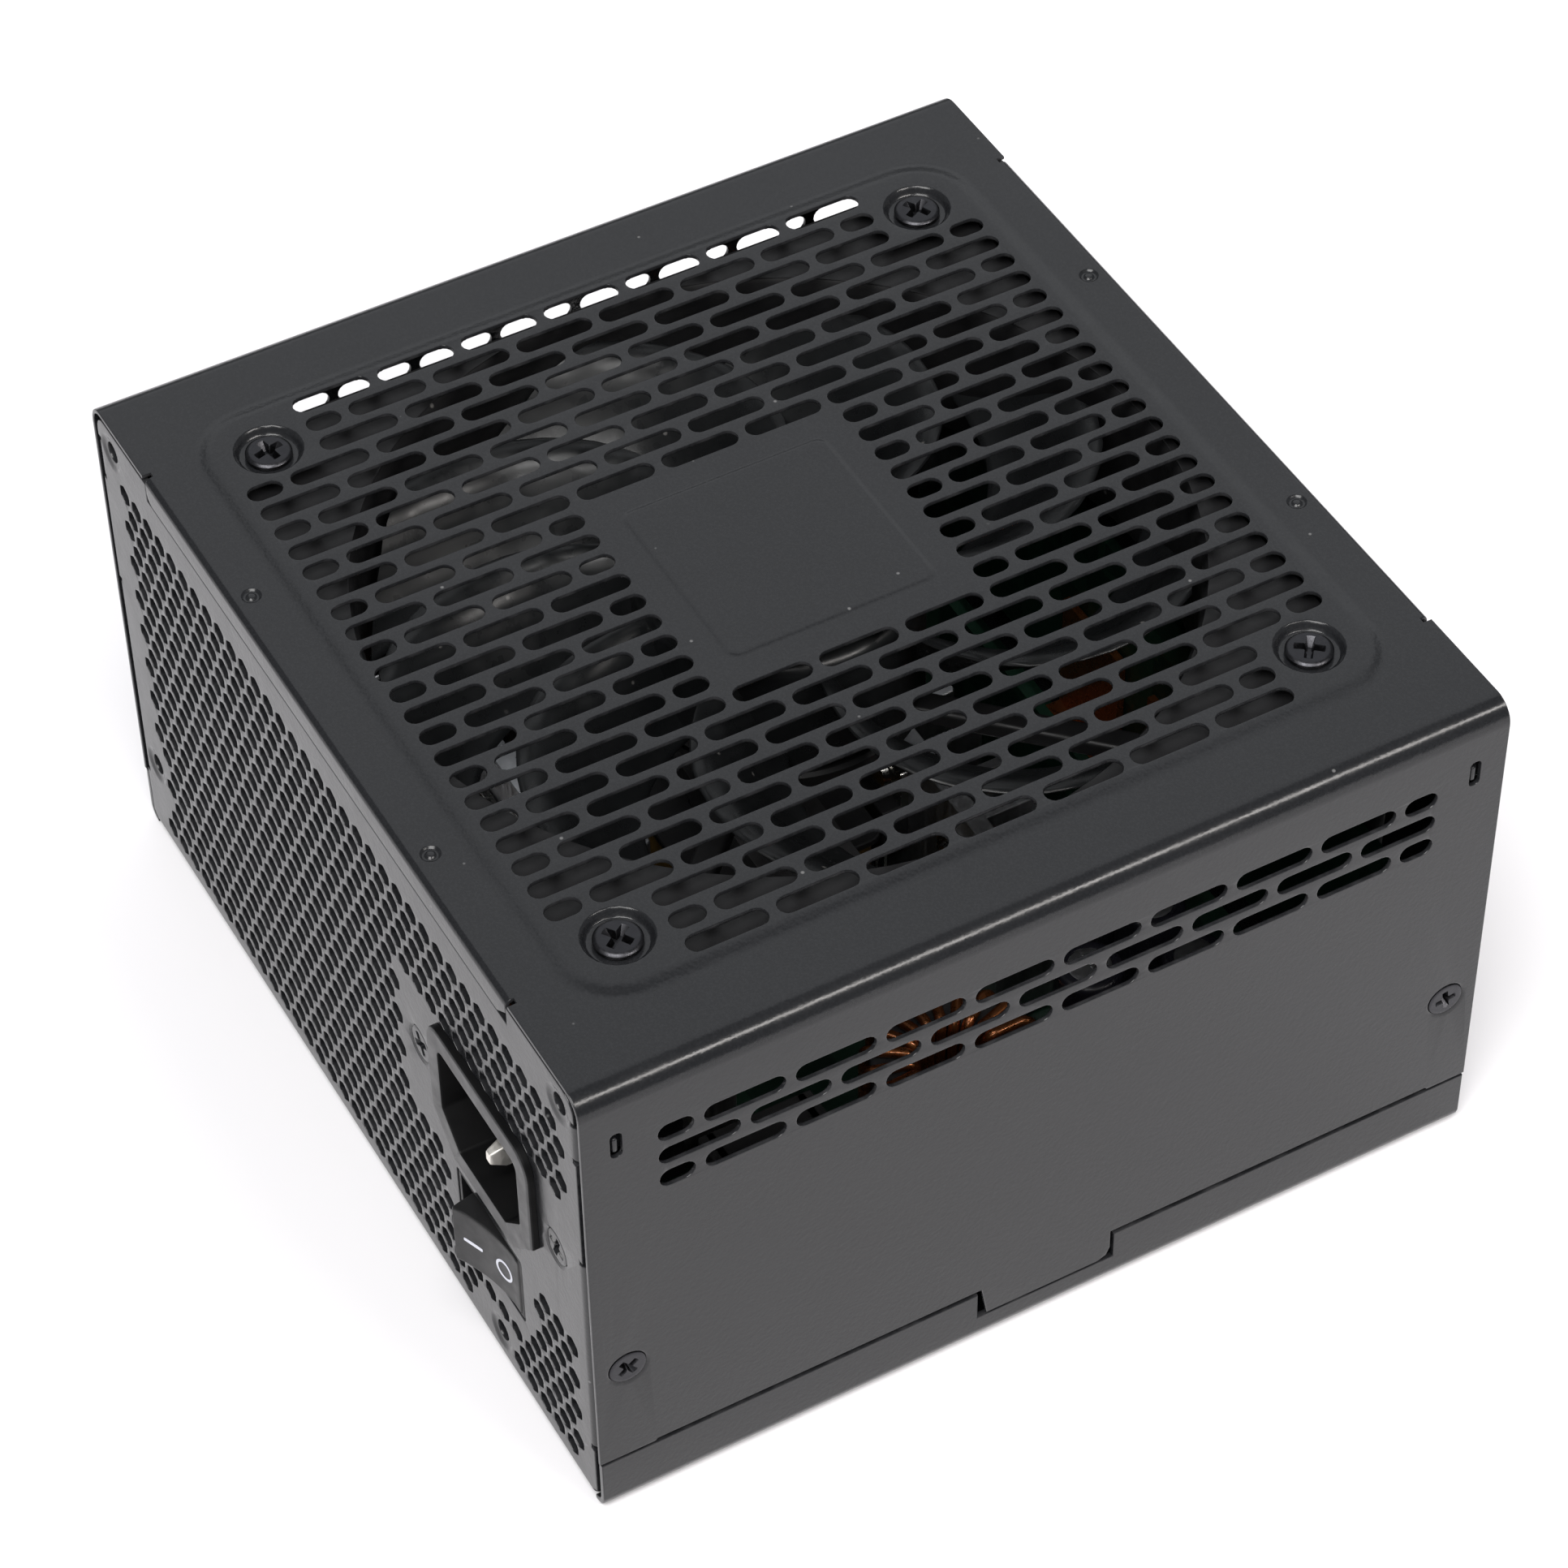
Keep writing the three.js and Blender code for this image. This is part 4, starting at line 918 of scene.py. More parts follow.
def inlet_outline(width, height, chamfer, grow=0.0, radius=4.0):
    """Outline of the mains inlet in x, z: round top corners and cut-off bottom corners."""
    w, h = width / 2 + grow, height / 2 + grow
    cut = chamfer + grow * (2 - math.sqrt(2))
    small = max(0.8 + grow, 0.1)
    return rounded_corners([
        (w, h, radius + grow), (-w, h, radius + grow), (-w, -h + cut, small),
        (-w + cut, -h, small), (w - cut, -h, small), (w, -h + cut, small),
    ]) + np.array((INLET_X, INLET_Z))


PANEL_HOLE = (27.9, 20.5)
SWITCH_HALF = (9.65, 6.5)
INLET_SCREW_OUT = 20.0
INLET_SCREW_AT = tuple((INLET_X + side * INLET_SCREW_OUT, INLET_Z) for side in (-1, 1))


def on_wall(outline, end=-1):
    """Points in x, z of the mains panel, or of the cable side with end 1, placed on the tray's blank."""
    points = np.asarray(outline, float)
    return np.stack([points[:, 0], end * wall_v(points[:, 1])], 1)


SOCKETS = (
    ("modular_socket_motherboard", 12), ("modular_socket_processor_1", 4), ("modular_socket_processor_2", 4),
    ("modular_socket_graphics_1", 4), ("modular_socket_graphics_2", 4), ("modular_socket_drives", 5),
)


def build_tray():
    blank = Blank(tray_outline(), tray_lines())

    def cut_wall(outline_at, end=-1, rim=RIM):
        blank.hole(lambda grow: on_wall(outline_at(grow), end), rim)

    for x, z in honeycomb_centres():
        cut_wall(hexagon(x, z, HONEY_FLATS), rim=0.10)
    cut_wall(lambda grow: inlet_outline(*PANEL_HOLE, 5.3, grow))
    cut_wall(square_hole(*SWITCH_HALF, 0.5, 4, (SWITCH_X, SWITCH_Z)))
    cone = (3.3, 1.8, 1.0)
    sinks = [tuple(p) for p in on_wall(INLET_SCREW_AT)]
    for sink in sinks:
        cut_sink(blank, sink, cone[0], 1.75)
    collars = [Step(tuple(spot), half=2.6, radius=2.6, width=1.3, rise=-0.3, count=5)
               for spot in on_wall(ATX_HOLES)]
    for collar in collars:
        collar.crease(blank, 6)
        blank.hole(round_hole(collar.centre, 1.6, 24), 0.15)
    clearance = 0.3
    for name, _ in SOCKETS:
        box = box_mm(name)
        half_x, half_z = halves(*box, 0, 2)
        hole = square_hole(half_x + clearance, half_z + clearance, 0.6, 4, middle(*box, 0, 2))
        cut_wall(hole, end=1)
    sunk = countersink_height(sinks, *cone)

    def pressed(u, v):
        return sum(collar.height(u, v) for collar in collars)

    def outer(u, v):
        return pressed(u, v) + sunk(u, v)

    verts, faces = blank.fold(fold_tray, outer, pressed, flip=True)
    piece = make("tray_shell", verts, faces, "case", "case_paint", ["tray"])
    mark_edges(piece, blank.edge_weight)
    build_tongues()


def build_tongues():
    """Tongues pushed out of the tray's flaps into the upright openings of the cover."""
    y, z = TONGUE
    half_width, below, above = 0.45, 1.75, 0.9
    root, tip = FLAP_START + FLAP_BEND - 0.3, HALF_X - 0.35
    tongues = Pile()
    for side in (-1, 1):
        x0, x1 = sorted((side * root, side * tip))
        for end in (-1, 1):
            low, high = (x0, end * y - half_width, z - below), (x1, end * y + half_width, z + above)
            tongues.put(*moulding(low, high, 0.4, 0.3, axis=0))
    tongues.make("tray_tongues", "case", "case_paint")


# ---------------------------------------------------------------- screws

def phillips_cross(arm, half_width):
    """Outline of a cross with slightly rounded inner corners, anticlockwise."""
    points = []
    for quarter in range(4):
        turn = quarter * math.pi / 2
        corner = half_width * 1.25
        for x, y in ((arm, -half_width), (arm * 1.04, 0), (arm, half_width), (corner, half_width),
                     (half_width, corner)):
            points.append((x * math.cos(turn) - y * math.sin(turn), x * math.sin(turn) + y * math.cos(turn)))
    return points


def screw_solid(radius, profile, arm, dome=0.0, edge=0.25, depth=1.3, segments=40):
    """A screw with its head's top at z = 0 and a cross recess; profile is the (r, z) run below the rim."""
    half_width = arm * 0.27
    loops = [(circle(0, 0, r, segments), 0.0)
             for r in (radius, radius - 0.35 * edge, radius - edge, radius * 0.8)]
    loops.append((phillips_cross(arm * 1.06, half_width * 1.12), 0.0))
    loops.append((phillips_cross(arm, half_width), 0.12))
    loops.append((phillips_cross(arm * 0.55, half_width * 0.5), depth))
    points, edges, sunk = [], [], []
    for loop, drop in loops:
        start, count = len(points), len(loop)
        points += [tuple(p) for p in loop]
        sunk += [drop] * count
        edges += [(start + i, start + (i + 1) % count) for i in range(count)]
    coords, _, tris, origins, _, _ = delaunay_2d_cdt([Vector(p) for p in points], edges, [], 1, 1e-6, True)
    verts = []
    for co, origin in zip(coords, origins):
        r = math.hypot(*co)
        rim = max(0.0, (r - radius + edge) / edge)
        crown = -dome * (r / radius) ** 2 - edge * rim ** 2 * 0.6
        verts.append((co[0], co[1], crown - max(sunk[i] for i in origin)))
    faces = [tuple(t) for t in tris]
    ring = [next(k for k, origin in enumerate(origins) if i in origin) for i in range(segments)]
    for r, z in profile:
        lower = list(range(len(verts), len(verts) + segments))
        verts += [(x, y, z) for x, y in circle(0, 0, r, segments)]
        for i in range(segments):
            j = (i + 1) % segments
            faces.append((ring[i], lower[i], lower[j], ring[j]))
        ring = lower
    faces.append(tuple(reversed(ring)))
    return verts, faces


def threaded(radius, top, bottom, pitch=0.8):
    """Profile of a screw's shank with its thread drawn as ridges."""
    profile = [(radius, top)]
    z = top - pitch
    while z > bottom + pitch:
        profile += [(radius * 0.84, z + pitch / 2), (radius, z)]
        z -= pitch
    return profile + [(radius * 0.8, bottom)]


def aimed(place, axis, twist):
    """Matrix that puts local +Z along axis at a place, turned about itself by twist degrees."""
    turn = Vector((0, 0, 1)).rotation_difference(Vector(axis)).to_matrix().to_4x4()
    return Matrix.Translation(Vector(place)) @ turn @ Matrix.Rotation(math.radians(twist), 4, "Z")


def countersunk(length, arm, depth, shank, rim):
    """A screw with a flat head, whose cone starts below a straight rim."""
    run = [(SCREW_HEAD, -rim), (shank, -rim - 1.0)] + threaded(shank, -1.5, -length)
    return screw_solid(SCREW_HEAD, run, arm, edge=0.18, depth=depth)


def place_screw(node, solid, place, axis, twist, slot="black_screw", material=None):
    """Puts a screw's head at a place, facing along an axis."""
    screw = Pile().put(*solid).moved(aimed(place, axis, twist))
    screw.make(f"{node}_head", "case", slot, replaces=[node], material=material)


def build_screws():
    flat = countersunk(length=5.0, arm=1.55, depth=1.1, shank=1.45, rim=0.35)
    for i, twist in enumerate((20, 65, 38, 8), 1):
        box = box_mm(f"cover_screw_{i}")
        side = math.copysign(1, box[0][0])
        place = (side * (HALF_X - SCREW_SINK), *middle(*box, 1, 2))
        place_screw(f"cover_screw_{i}", flat, place, (side, 0, 0), twist)
    small = countersunk(length=6.0, arm=1.8, depth=1.3, shank=1.4, rim=0.3)
    for i, twist in enumerate((30, 72), 1):
        x, z = middle(*box_mm(f"inlet_screw_{i}"), 0, 2)
        place = (x, -HALF_Y + SCREW_SINK, z)
        place_screw(f"inlet_screw_{i}", small, place, (0, -1, 0), twist, material=MATERIALS["case_paint"])
    for i, twist in enumerate((12, 34, 52, 28), 1):
        low, high = box_mm(f"fan_screw_{i}")
        run = [(3.35, -1.0), (2.9, -1.25), (1.8, -1.25)] + threaded(1.8, -1.5, low[2] - high[2])
        pan = screw_solid(3.35, run, arm=2.0, dome=0.25, edge=0.45, depth=1.25)
        place = (*middle(low, high, 0, 1), high[2] - 0.05)
        place_screw(f"fan_screw_{i}", pan, place, (0, 0, 1), twist)
    for i in range(1, 5):
        low, high = box_mm(f"board_screw_{i}")
        run = [(2.7, -1.5), (1.3, -1.6)] + threaded(1.3, -1.9, low[2] - high[2])
        pan = screw_solid(2.7, run, arm=1.6, dome=0.3, edge=0.4, depth=1.0)
        place = (*middle(low, high, 0, 1), high[2])
        place_screw(f"board_screw_{i}", pan, place, (0, 0, 1), 25 * i, "zinc_screw")


# ---------------------------------------------------------------- mains inlet and switch

def inlet_rings(rim, opening, front, panel, floor, back):
    """The housing's section from behind, over its rim and down into its cavity."""
    body, edge, corner = (27.4, 20.0, 5.2), 0.5, 1.5
    rings = [across(inlet_outline(*body), 1, back + 0.4), across(inlet_outline(*body), 1, panel - 0.02),
             across(inlet_outline(*rim), 1, panel - 0.03)]
    for a in np.linspace(0, math.pi / 2, 6):
        outline = inlet_outline(*rim, -edge * (1 - math.cos(a)))
        rings.append(across(outline, 1, front + edge * (1 - math.sin(a))))
    mouth = ((0.35, front), (0.12, front + 0.06), (0.0, front + 0.35))
    for grow, y in (*mouth, (-0.15, floor - 0.4), (-0.45, floor)):
        rings.append(across(inlet_outline(*opening, grow, corner), 1, y))
    return rings


def build_inlet():
    front, panel, floor = INLET_LOW[1] + 0.55, -HALF_Y, -56.0
    rim, opening = (29.7, 23.9, 6.0), (22.9, 16.8, 4.7)
    ear_half, ear_out, ear_front = (6.0, 10.0), 19.0, -68.7
    housing = Pile().put(*loft(inlet_rings(rim, opening, front, panel, floor, INLET_HIGH[1])))
    for side in (-1, 1):
        ear = Blank(rounded_box(*ear_half, 2.5, 5, (INLET_X + side * ear_out, INLET_Z)))
        ear.hole(round_hole((INLET_X + side * INLET_SCREW_OUT, INLET_Z), 1.7, 20))
        housing.put(*ear.fold(lambda u, v, n: np.stack([u, ear_front - n, v], 1), flip=True, thickness=3.0))
    piece = housing.make("mains_inlet_housing", "case", "inlet_plastic", replaces=["inlet_housing"])
    # Faces inside the cavity and behind the panel take the much darker copy of the plastic as painted shade.
    piece.data.materials.append(SHADED_PLASTIC)
    for face in piece.data.polygons:
        if abs(face.normal.y) < 0.6 or face.center.y > panel * MM:
            face.material_index = 1
    for name in ("inlet_live_pin", "inlet_neutral_pin", "inlet_earth_pin"):
        build_pin(name)


def build_pin(name):
    """A flat blade with a bevelled tip."""
    low, high = box_mm(name)
    tip = low[1] - 0.5
    rings = []
    for y, shrink in ((high[1], 0.0), (tip + 2.2, 0.0), (tip + 0.3, 0.45), (tip + 0.08, 0.53), (tip, 0.66)):
        outline = rounded_box(1.0 - shrink * 0.8, 2.0 - shrink * 2.0, 0.22, 4, middle(low, high, 0, 2))
        rings.append(across(outline, 1, y))
    blade = Pile().put(*loft(rings))
    blade.make(f"{name}_blade", "case", "bright_steel", replaces=[name], material=PLATED_PIN)


ROCKER_PIVOT = (SWITCH_X, -63.5, SWITCH_Z)
ROCKER_TILT = 15.0
ROCKER_REACH = 8.6
ROCKER_DISH = 0.8
ROCKER_HALF = (6.9, 5.6)


def rocker_depth(x):
    """How far the dished face stands in front of the pivot, at x along it."""
    return -ROCKER_REACH + ROCKER_DISH * (1 - (x / ROCKER_HALF[0]) ** 2)


def rocker_matrix():
    """Where the switch's key sits, with its O end pressed in."""
    return Matrix.Translation(Vector(ROCKER_PIVOT)) @ Matrix.Rotation(math.radians(ROCKER_TILT), 4, "Z")


def build_switch():
    """The switch's frame with its two spring clips."""
    front, back = SWITCH_LOW[1], SWITCH_HIGH[1]
    section = ((9.5, 6.35, 0.5, back), (9.5, 6.35, 0.5, front + 0.3), (9.4, 6.25, 0.5, front + 0.08),
               (9.2, 6.1, 0.4, front), (8.6, 5.9, 0.3, front), (8.55, 5.88, 0.3, front + 0.3),
               (8.5, 5.87, 0.3, back - 3.0))
    housing = Pile().put(*loft([across(rounded_box(half_x, half_z, radius, 4, (SWITCH_X, SWITCH_Z)), 1, y)
                                for half_x, half_z, radius, y in section]))
    for side in (-1, 1):
        clip = []
        for y, out in ((-68.6, 7.15), (-68.2, 7.15), (-64.8, 6.4)):
            outline = ((-4, 6.3), (4, 6.3), (4, out), (-4, out))
            clip.append([(SWITCH_X + x, y, SWITCH_Z + side * z) for x, z in outline])
        housing.put(*loft(clip))
    housing.make("mains_switch_housing", "case", "black_plastic", replaces=["switch_housing"])
    build_rocker()
    build_marks()


def build_rocker():
    """The dished key of the switch with rounded edges and its trunnions."""
    half_x, half_z = ROCKER_HALF
    edge = 0.45
    steps = 14
    face = [(x, rocker_depth(x)) for x in np.linspace(half_x - edge, -half_x + edge, steps)]
    corner = [(half_x - edge + edge * math.sin(a), rocker_depth(half_x) + edge - edge * math.cos(a))
              for a in np.linspace(math.pi / 2, 0.2, 4)]
    skirt = [(half_x - 0.15, -4.5), (5.4, -1.5), (2.0, 3.4)]
    right = list(reversed(skirt)) + corner
    outline = right + face[1:-1] + [(-x, y) for x, y in reversed(right)]
    core = np.array((0.0, -3.5))
    rings = []
    for z, shrink in ((-half_z, edge), (-half_z + 0.13, 0.13), (-half_z + edge, 0), (half_z - edge, 0),
                      (half_z - 0.13, 0.13), (half_z, edge)):
        ring = []
        for point in outline:
            away = core - point
            ring.append((*(np.array(point) + away / np.linalg.norm(away) * shrink), z))
        rings.append(ring)
    rocker = Pile().put(*loft(rings))
    reach = half_z + 0.55
    trunnions = [(1.25, -reach), (1.4, 0.15 - reach), (1.4, reach - 0.15), (1.25, reach)]
    rocker.put(*lathe(trunnions, 24))
    rocker.moved(rocker_matrix())
    rocker.make("rocker_key", "rocker", "rocker_plastic", replaces=["power_rocker"], angle=40)


def build_marks():
    """The white I and O printed on the rocker's face."""
    stand = 0.05

    def on_face(outline, lift):
        return [(x, rocker_depth(x) - lift, z) for x, z in outline]

    line = rounded_box(1.7, 0.28, 0.12, 3, (-3.3, 0.0))
    marks = Pile().put(*loft([on_face(line, lift) for lift in (-stand, stand)]))
    ring = ((1.85, -stand), (1.85, stand), (1.42, stand), (1.42, -stand))
    marks.put(*hoop([on_face(circle(3.0, 0.0, radius, 40), lift) for radius, lift in ring]))
    marks.moved(rocker_matrix())
    marks.make("rocker_marks", "rocker", "rocker_plastic", material=WHITE_MARK)


# ---------------------------------------------------------------- fan

HUB_R = 20.5
BLADE_ROOT, BLADE_TIP = 19.5, 57.0
BLADE_COUNT = 9
BLADE_LOW, BLADE_HIGH = 64.5, 81.5
BLADE_THICK = 1.6
BLADE_SPAN, BLADE_SWEEP = 0.5, 0.55
BEARING_TOP = 76.0


def fan_blade(turn):
    """A blade pitched down its chord and swept back towards its tip, with thin round edges."""
    section = []
    for a in np.linspace(0, 2 * math.pi, 28, endpoint=False):
        along = 0.5 * math.cos(a)
        lift = 0.5 * BLADE_THICK * math.copysign(abs(math.sin(a)) ** 0.6, math.sin(a))
        section.append((along, lift))
    fall = BLADE_HIGH - BLADE_LOW - BLADE_THICK
    rings = []
    for outward in np.linspace(0, 1, 13):
        ring = []
        tip = max(0.0, (outward - 0.9) / 0.1)
        for along, lift in section:
            along = along * (1 - 0.06 * tip ** 2)
            radius = BLADE_ROOT + (BLADE_TIP - BLADE_ROOT) * outward
            angle = turn + BLADE_SPAN * along + BLADE_SWEEP * outward ** 2
            droop = fall * (along + 0.12 * math.sin(2 * math.pi * along)) * (1 - 0.25 * outward)
            z = (BLADE_LOW + BLADE_HIGH) / 2 - droop + lift * (1 - 0.35 * tip)
            ring.append((radius * math.cos(angle), radius * math.sin(angle), z))
        rings.append(ring)
    return loft(rings)


def build_fan():
    """The rotor: a cup-shaped hub with its blades."""
    low, high = box_mm("fan_rotor")
    top = high[2]
    rotor = Pile()
    crown = 2.2
    hub = [(HUB_R - 2, low[2]), (HUB_R, low[2])]
    hub += [(HUB_R - crown + crown * math.cos(a), top - crown + crown * math.sin(a))
            for a in np.linspace(0, math.pi / 2, 8)]
    hub += [(17.0, top), (16.8, top - 0.3), (0.01, top - 0.3), (0.01, top - 2.0), (HUB_R - 2, top - crown)]
    rotor.put(*lathe(hub, 72, closed=True))
    for number in range(BLADE_COUNT):
        rotor.put(*fan_blade(number * 2 * math.pi / BLADE_COUNT))
    rotor.make("fan_impeller", "fan", "fan_plastic", replaces=["fan_rotor"], angle=50)
    build_fan_frame()


def build_fan_frame():
    """Two square plates joined by the duct, and the motor's seat on four struts."""
    low, high = box_mm("fan_frame")
    half, bore, floor, top = high[0], 58.2, low[2], high[2]
    housing = Pile()
    for level in (top, floor + 4.0):
        plate = Blank(rounded_box(half, half, 4.0, 6))
        plate.hole(round_hole((0, 0), bore + 0.8, 96))
        for corner in CORNERS:
            plate.hole(round_hole(corner, FAN_HOLE_R, 20))
        housing.put(*plate.fold(lambda u, v, n, z=level: np.stack([u, v, z + n], 1), thickness=4.0))
    duct = [(1.2, floor + 0.3), (1.6, floor + 4), (1.6, top - 4), (1.2, top - 0.3), (0.9, top - 0.05),
            (0.3, top - 0.9), (0.0, top - 3), (0.0, floor + 3), (0.3, floor + 0.9), (0.9, floor + 0.05)]
    housing.put(*lathe([(bore + out, z) for out, z in duct], 96, closed=True))
    strut_top = floor + 3.0
    housing.put(*lathe([(HUB_R - 0.5, floor), (HUB_R, floor + 0.5), (HUB_R, strut_top - 0.5),
                        (HUB_R - 0.5, strut_top)], 72))
    strut = rounded_box(2.0, 1.5, 0.7, 4, (0.0, floor + 1.5))
    for number in range(4):
        start = len(housing.verts)
        housing.put(*loft([across(strut, 0, r) for r in (HUB_R - 1, bore + 1.0)]))
        housing.moved(Matrix.Rotation(math.pi / 4 + number * math.pi / 2, 4, "Z"), start)
    seat = [(3.55, strut_top - 0.5), (4.9, strut_top - 0.5), (4.9, BEARING_TOP - 0.3), (4.6, BEARING_TOP),
            (3.55, BEARING_TOP)]
    housing.put(*lathe(seat, 32, closed=True))
    housing.make("fan_housing", "case", "black_plastic", replaces=["fan_frame"])


# ---------------------------------------------------------------- parts on the main board

BOARD_TOP = box_mm("main_board")[1][2]
TRANSISTOR_FOOT, LEG_PITCH = 25.0, 2.54


def build_choke(name, inner, wire=0.85):
    """A ferrite ring lying flat with one layer of wire turns, open towards +X where its ends come down."""
    low, high = box_mm(f"{name}_core")
    centre = middle(low, high, 0, 1)
    outer, half_z = halves(low, high, 0, 2)
    half_r = (outer - inner) / 2
    place = ((outer + inner) / 2, (low[2] + high[2]) / 2)
    core = Pile().put(*lathe(rounded_box(half_r, half_z, 0.8, 4, place), 64, closed=True))
    core.moved(Matrix.Translation((*centre, 0)))
    core.make(f"{name}_ring", "case", "ferrite", replaces=[f"{name}_core"])
    section = rounded_box(half_r + wire, half_z + wire, 0.8 + wire, 5, place)
    gap = 3.4 / (inner - wire)
    turns = int((2 * math.pi - 2 * gap) * (inner - wire) / (2.06 * wire))
    step = (2 * math.pi - 2 * gap) / turns
    path = [(section[0][0], BOARD_TOP, gap)]
    for number in range(turns):
        path += [(r, z, gap + (number + j / len(section)) * step) for j, (r, z) in enumerate(section)]
    path = path[:-4]
    path.append((path[-1][0], BOARD_TOP, path[-1][2]))
    points = [(centre[0] + r * math.cos(a), centre[1] + r * math.sin(a), z) for r, z, a in path]
    winding = Pile().put(*tube(points, wire))
    winding.make(f"{name}_turns", "case", "copper", replaces=[f"{name}_winding"], angle=60)


def build_transformer():
    """A ferrite core with two windows round a taped winding on its bobbin."""
    low, high = box_mm("main_transformer_core")
    centre, half = middle(low, high, 0, 2), halves(low, high, 0, 2)
    core = Blank(rounded_box(*half, 0.8, 4, centre))
    for side in (-1, 1):
        core.hole(square_hole(4.0, half[1] * 0.72, 0.4, 4, (centre[0] + side * 10.0, centre[1])))
    ferrite = Pile().put(*upright(core, high[1], high[1] - low[1]))
    ferrite.make("main_transformer_ferrite", "case", "ferrite", replaces=["main_transformer_core"])

    low, high = box_mm("main_transformer_winding")
    centre, (half_x, half_y) = middle(low, high, 0, 1), halves(low, high, 0, 1)
    leg = rounded_box(6.3, 7.3, 0.5, 6, centre)
    flange = 1.3
    first, pitch = -8.0, 4.0

    def wall(z0, z1, shrink, edge):
        rings = []
        for z, away in ((z0, edge), (z0 + edge, 0.0), (z1 - edge, 0.0), (z1, edge)):
            inward = shrink + away
            rings.append(across(rounded_box(half_x - inward, half_y - inward, 2.5, 6, centre), 2, z))
        return hoop([*rings, across(leg, 2, z1), across(leg, 2, z0)])

    winding = Pile().put(*wall(low[2] + flange - 0.1, high[2] - flange + 0.1, 0.9, 0.5))
    winding.make("main_transformer_tape", "case", "yellow_film", replaces=["main_transformer_winding"])
    bobbin = Pile().put(*wall(low[2], low[2] + flange, 0.0, 0.2))
    bobbin.put(*wall(high[2] - flange, high[2], 0.0, 0.2))
    for side in (-1, 1):
        y = centre[1] + side * (half_y - 2.2)
        row_low, row_high = (first - 1.5, y - 2.0, BOARD_TOP + 1.5), (first + 21.5, y + 2.0, low[2] + 0.1)
        bobbin.put(*moulding(row_low, row_high, 0.5, 0.3))
        for number in range(6):
            x = first + number * pitch
            bobbin.put(*tube([(x, y, BOARD_TOP + up) for up in (0.0, 1.0, 2.0)], 0.4))
    bobbin.make("main_transformer_bobbin", "case", "component_resin")


def build_heatsink(name, transistors):
    """A comb-shaped extrusion standing on the board with power transistors on its flat side."""
    low, high = box_mm(name)
    base, fin, pitch, tip = 3.0, 1.6, 8.0, 0.6
    outline = [(low[0], low[1]), (high[0], low[1]), (high[0], low[1] + base)]
    starts = np.arange(low[0], high[0] - fin + 0.01, pitch)[::-1]
    for x in starts:
        outline += [(x + fin, low[1] + base), (x + fin, high[1] - tip)]
        outline += [(x + fin / 2 + fin / 2 * math.cos(a), high[1] - tip + tip * math.sin(a))
                    for a in np.linspace(0.4, math.pi - 0.4, 5)]
        outline.append((x, high[1] - tip))
        if x > low[0]:
            outline.append((x, low[1] + base))
    edge = 0.15
    section = ((low[2], edge), (low[2] + edge, 0.0), (high[2] - edge, 0.0), (high[2], edge))
    extrusion = Pile().put(*loft([across(inset(outline, away), 2, z) for z, away in section]))
    extrusion.make(f"{name}_extrusion", "case", "aluminium", replaces=[name])
    bodies, tabs = Pile(), Pile()
    for x in transistors:
        put_transistor(bodies, tabs, x, low[1] - 0.1, TRANSISTOR_FOOT)
    bodies.make(f"{name}_transistors", "case", "component_resin")
    tabs.make(f"{name}_transistor_tabs", "case", "bright_steel")


def put_transistor(bodies, tabs, x, y, z):
    """A power transistor: resin body, metal tab with its screw, and three legs down to the board."""
    bodies.put(*moulding((x - 5, y - 4.4, z), (x + 5, y, z + 9.2), 0.4, 0.3))
    tab = Blank(rounded_box(5.0, 4.2, 0.8, 4, (x, z + 11.6)))
    tab.hole(round_hole((x, z + 12.5), 1.9, 20))
    tabs.put(*tab.fold(lambda u, v, n: np.stack([u, y - 1.3 - n, v], 1), thickness=1.3))
    start = len(tabs.verts)
    tabs.put(*lathe([(2.6, -0.2), (2.8, 0.3), (2.4, 1.2), (1.4, 1.6)], 24))
    tabs.moved(aimed((x, y - 1.4, z + 12.5), (0, -1, 0), 0), start)
    for leg in (x - LEG_PITCH, x, x + LEG_PITCH):
        tabs.put(*tube([(leg, y - 2.4, z + 0.5), (leg, y - 2.4, z - 3), (leg, y - 2.6, BOARD_TOP)], 0.4, 6))


def build_capacitor(name):
    """A sleeved can with its crimped groove, and the scored aluminium disc in its top."""
    low, high = box_mm(name)
    r, z0, z1 = (high[0] - low[0]) / 2, low[2], high[2]
    centre = middle(low, high, 0, 1)
    profile = [(r - 1.0, z0), (r - 0.2, z0 + 0.2), (r, z0 + 0.8), (r, z0 + 2.6), (r - 0.5, z0 + 3.1),
               (r - 0.6, z0 + 3.5), (r - 0.5, z0 + 3.9), (r, z0 + 4.4), (r, z1 - 1.2), (r - 0.15, z1 - 0.6),
               (r - 0.6, z1 - 0.15), (r - 1.2, z1), (r - 1.7, z1 - 0.12), (r - 1.8, z1 - 0.35)]
    sleeve = Pile().put(*lathe(profile, 56)).moved(Matrix.Translation((*centre, 0)))
    sleeve.make(f"{name}_can", "case", "capacitor_sleeve", replaces=[name])
    reach, half = (r - 1.9) * 0.7, 0.22
    scores = []
    for level in (-half, 0.0, half):
        scores += [((centre[0] - reach, centre[1] + level), (centre[0] + reach, centre[1] + level)),
                   ((centre[0] + level, centre[1] - reach), (centre[0] + level, centre[1] + reach))]

    def scored(u, v):
        du, dv = np.abs(u - centre[0]), np.abs(v - centre[1])
        near = np.minimum(np.where(du <= reach, dv, 9), np.where(dv <= reach, du, 9))
        return -0.12 * np.clip(1 - near / half, 0, 1)

    disc = Blank(circle(*centre, r - 1.75, 48), scores)
    disc = disc.fold(lambda u, v, n: np.stack([u, v, z1 - 0.15 + n], 1), scored, scored, thickness=0.4)
    make(f"{name}_top", *disc, "case", "aluminium")


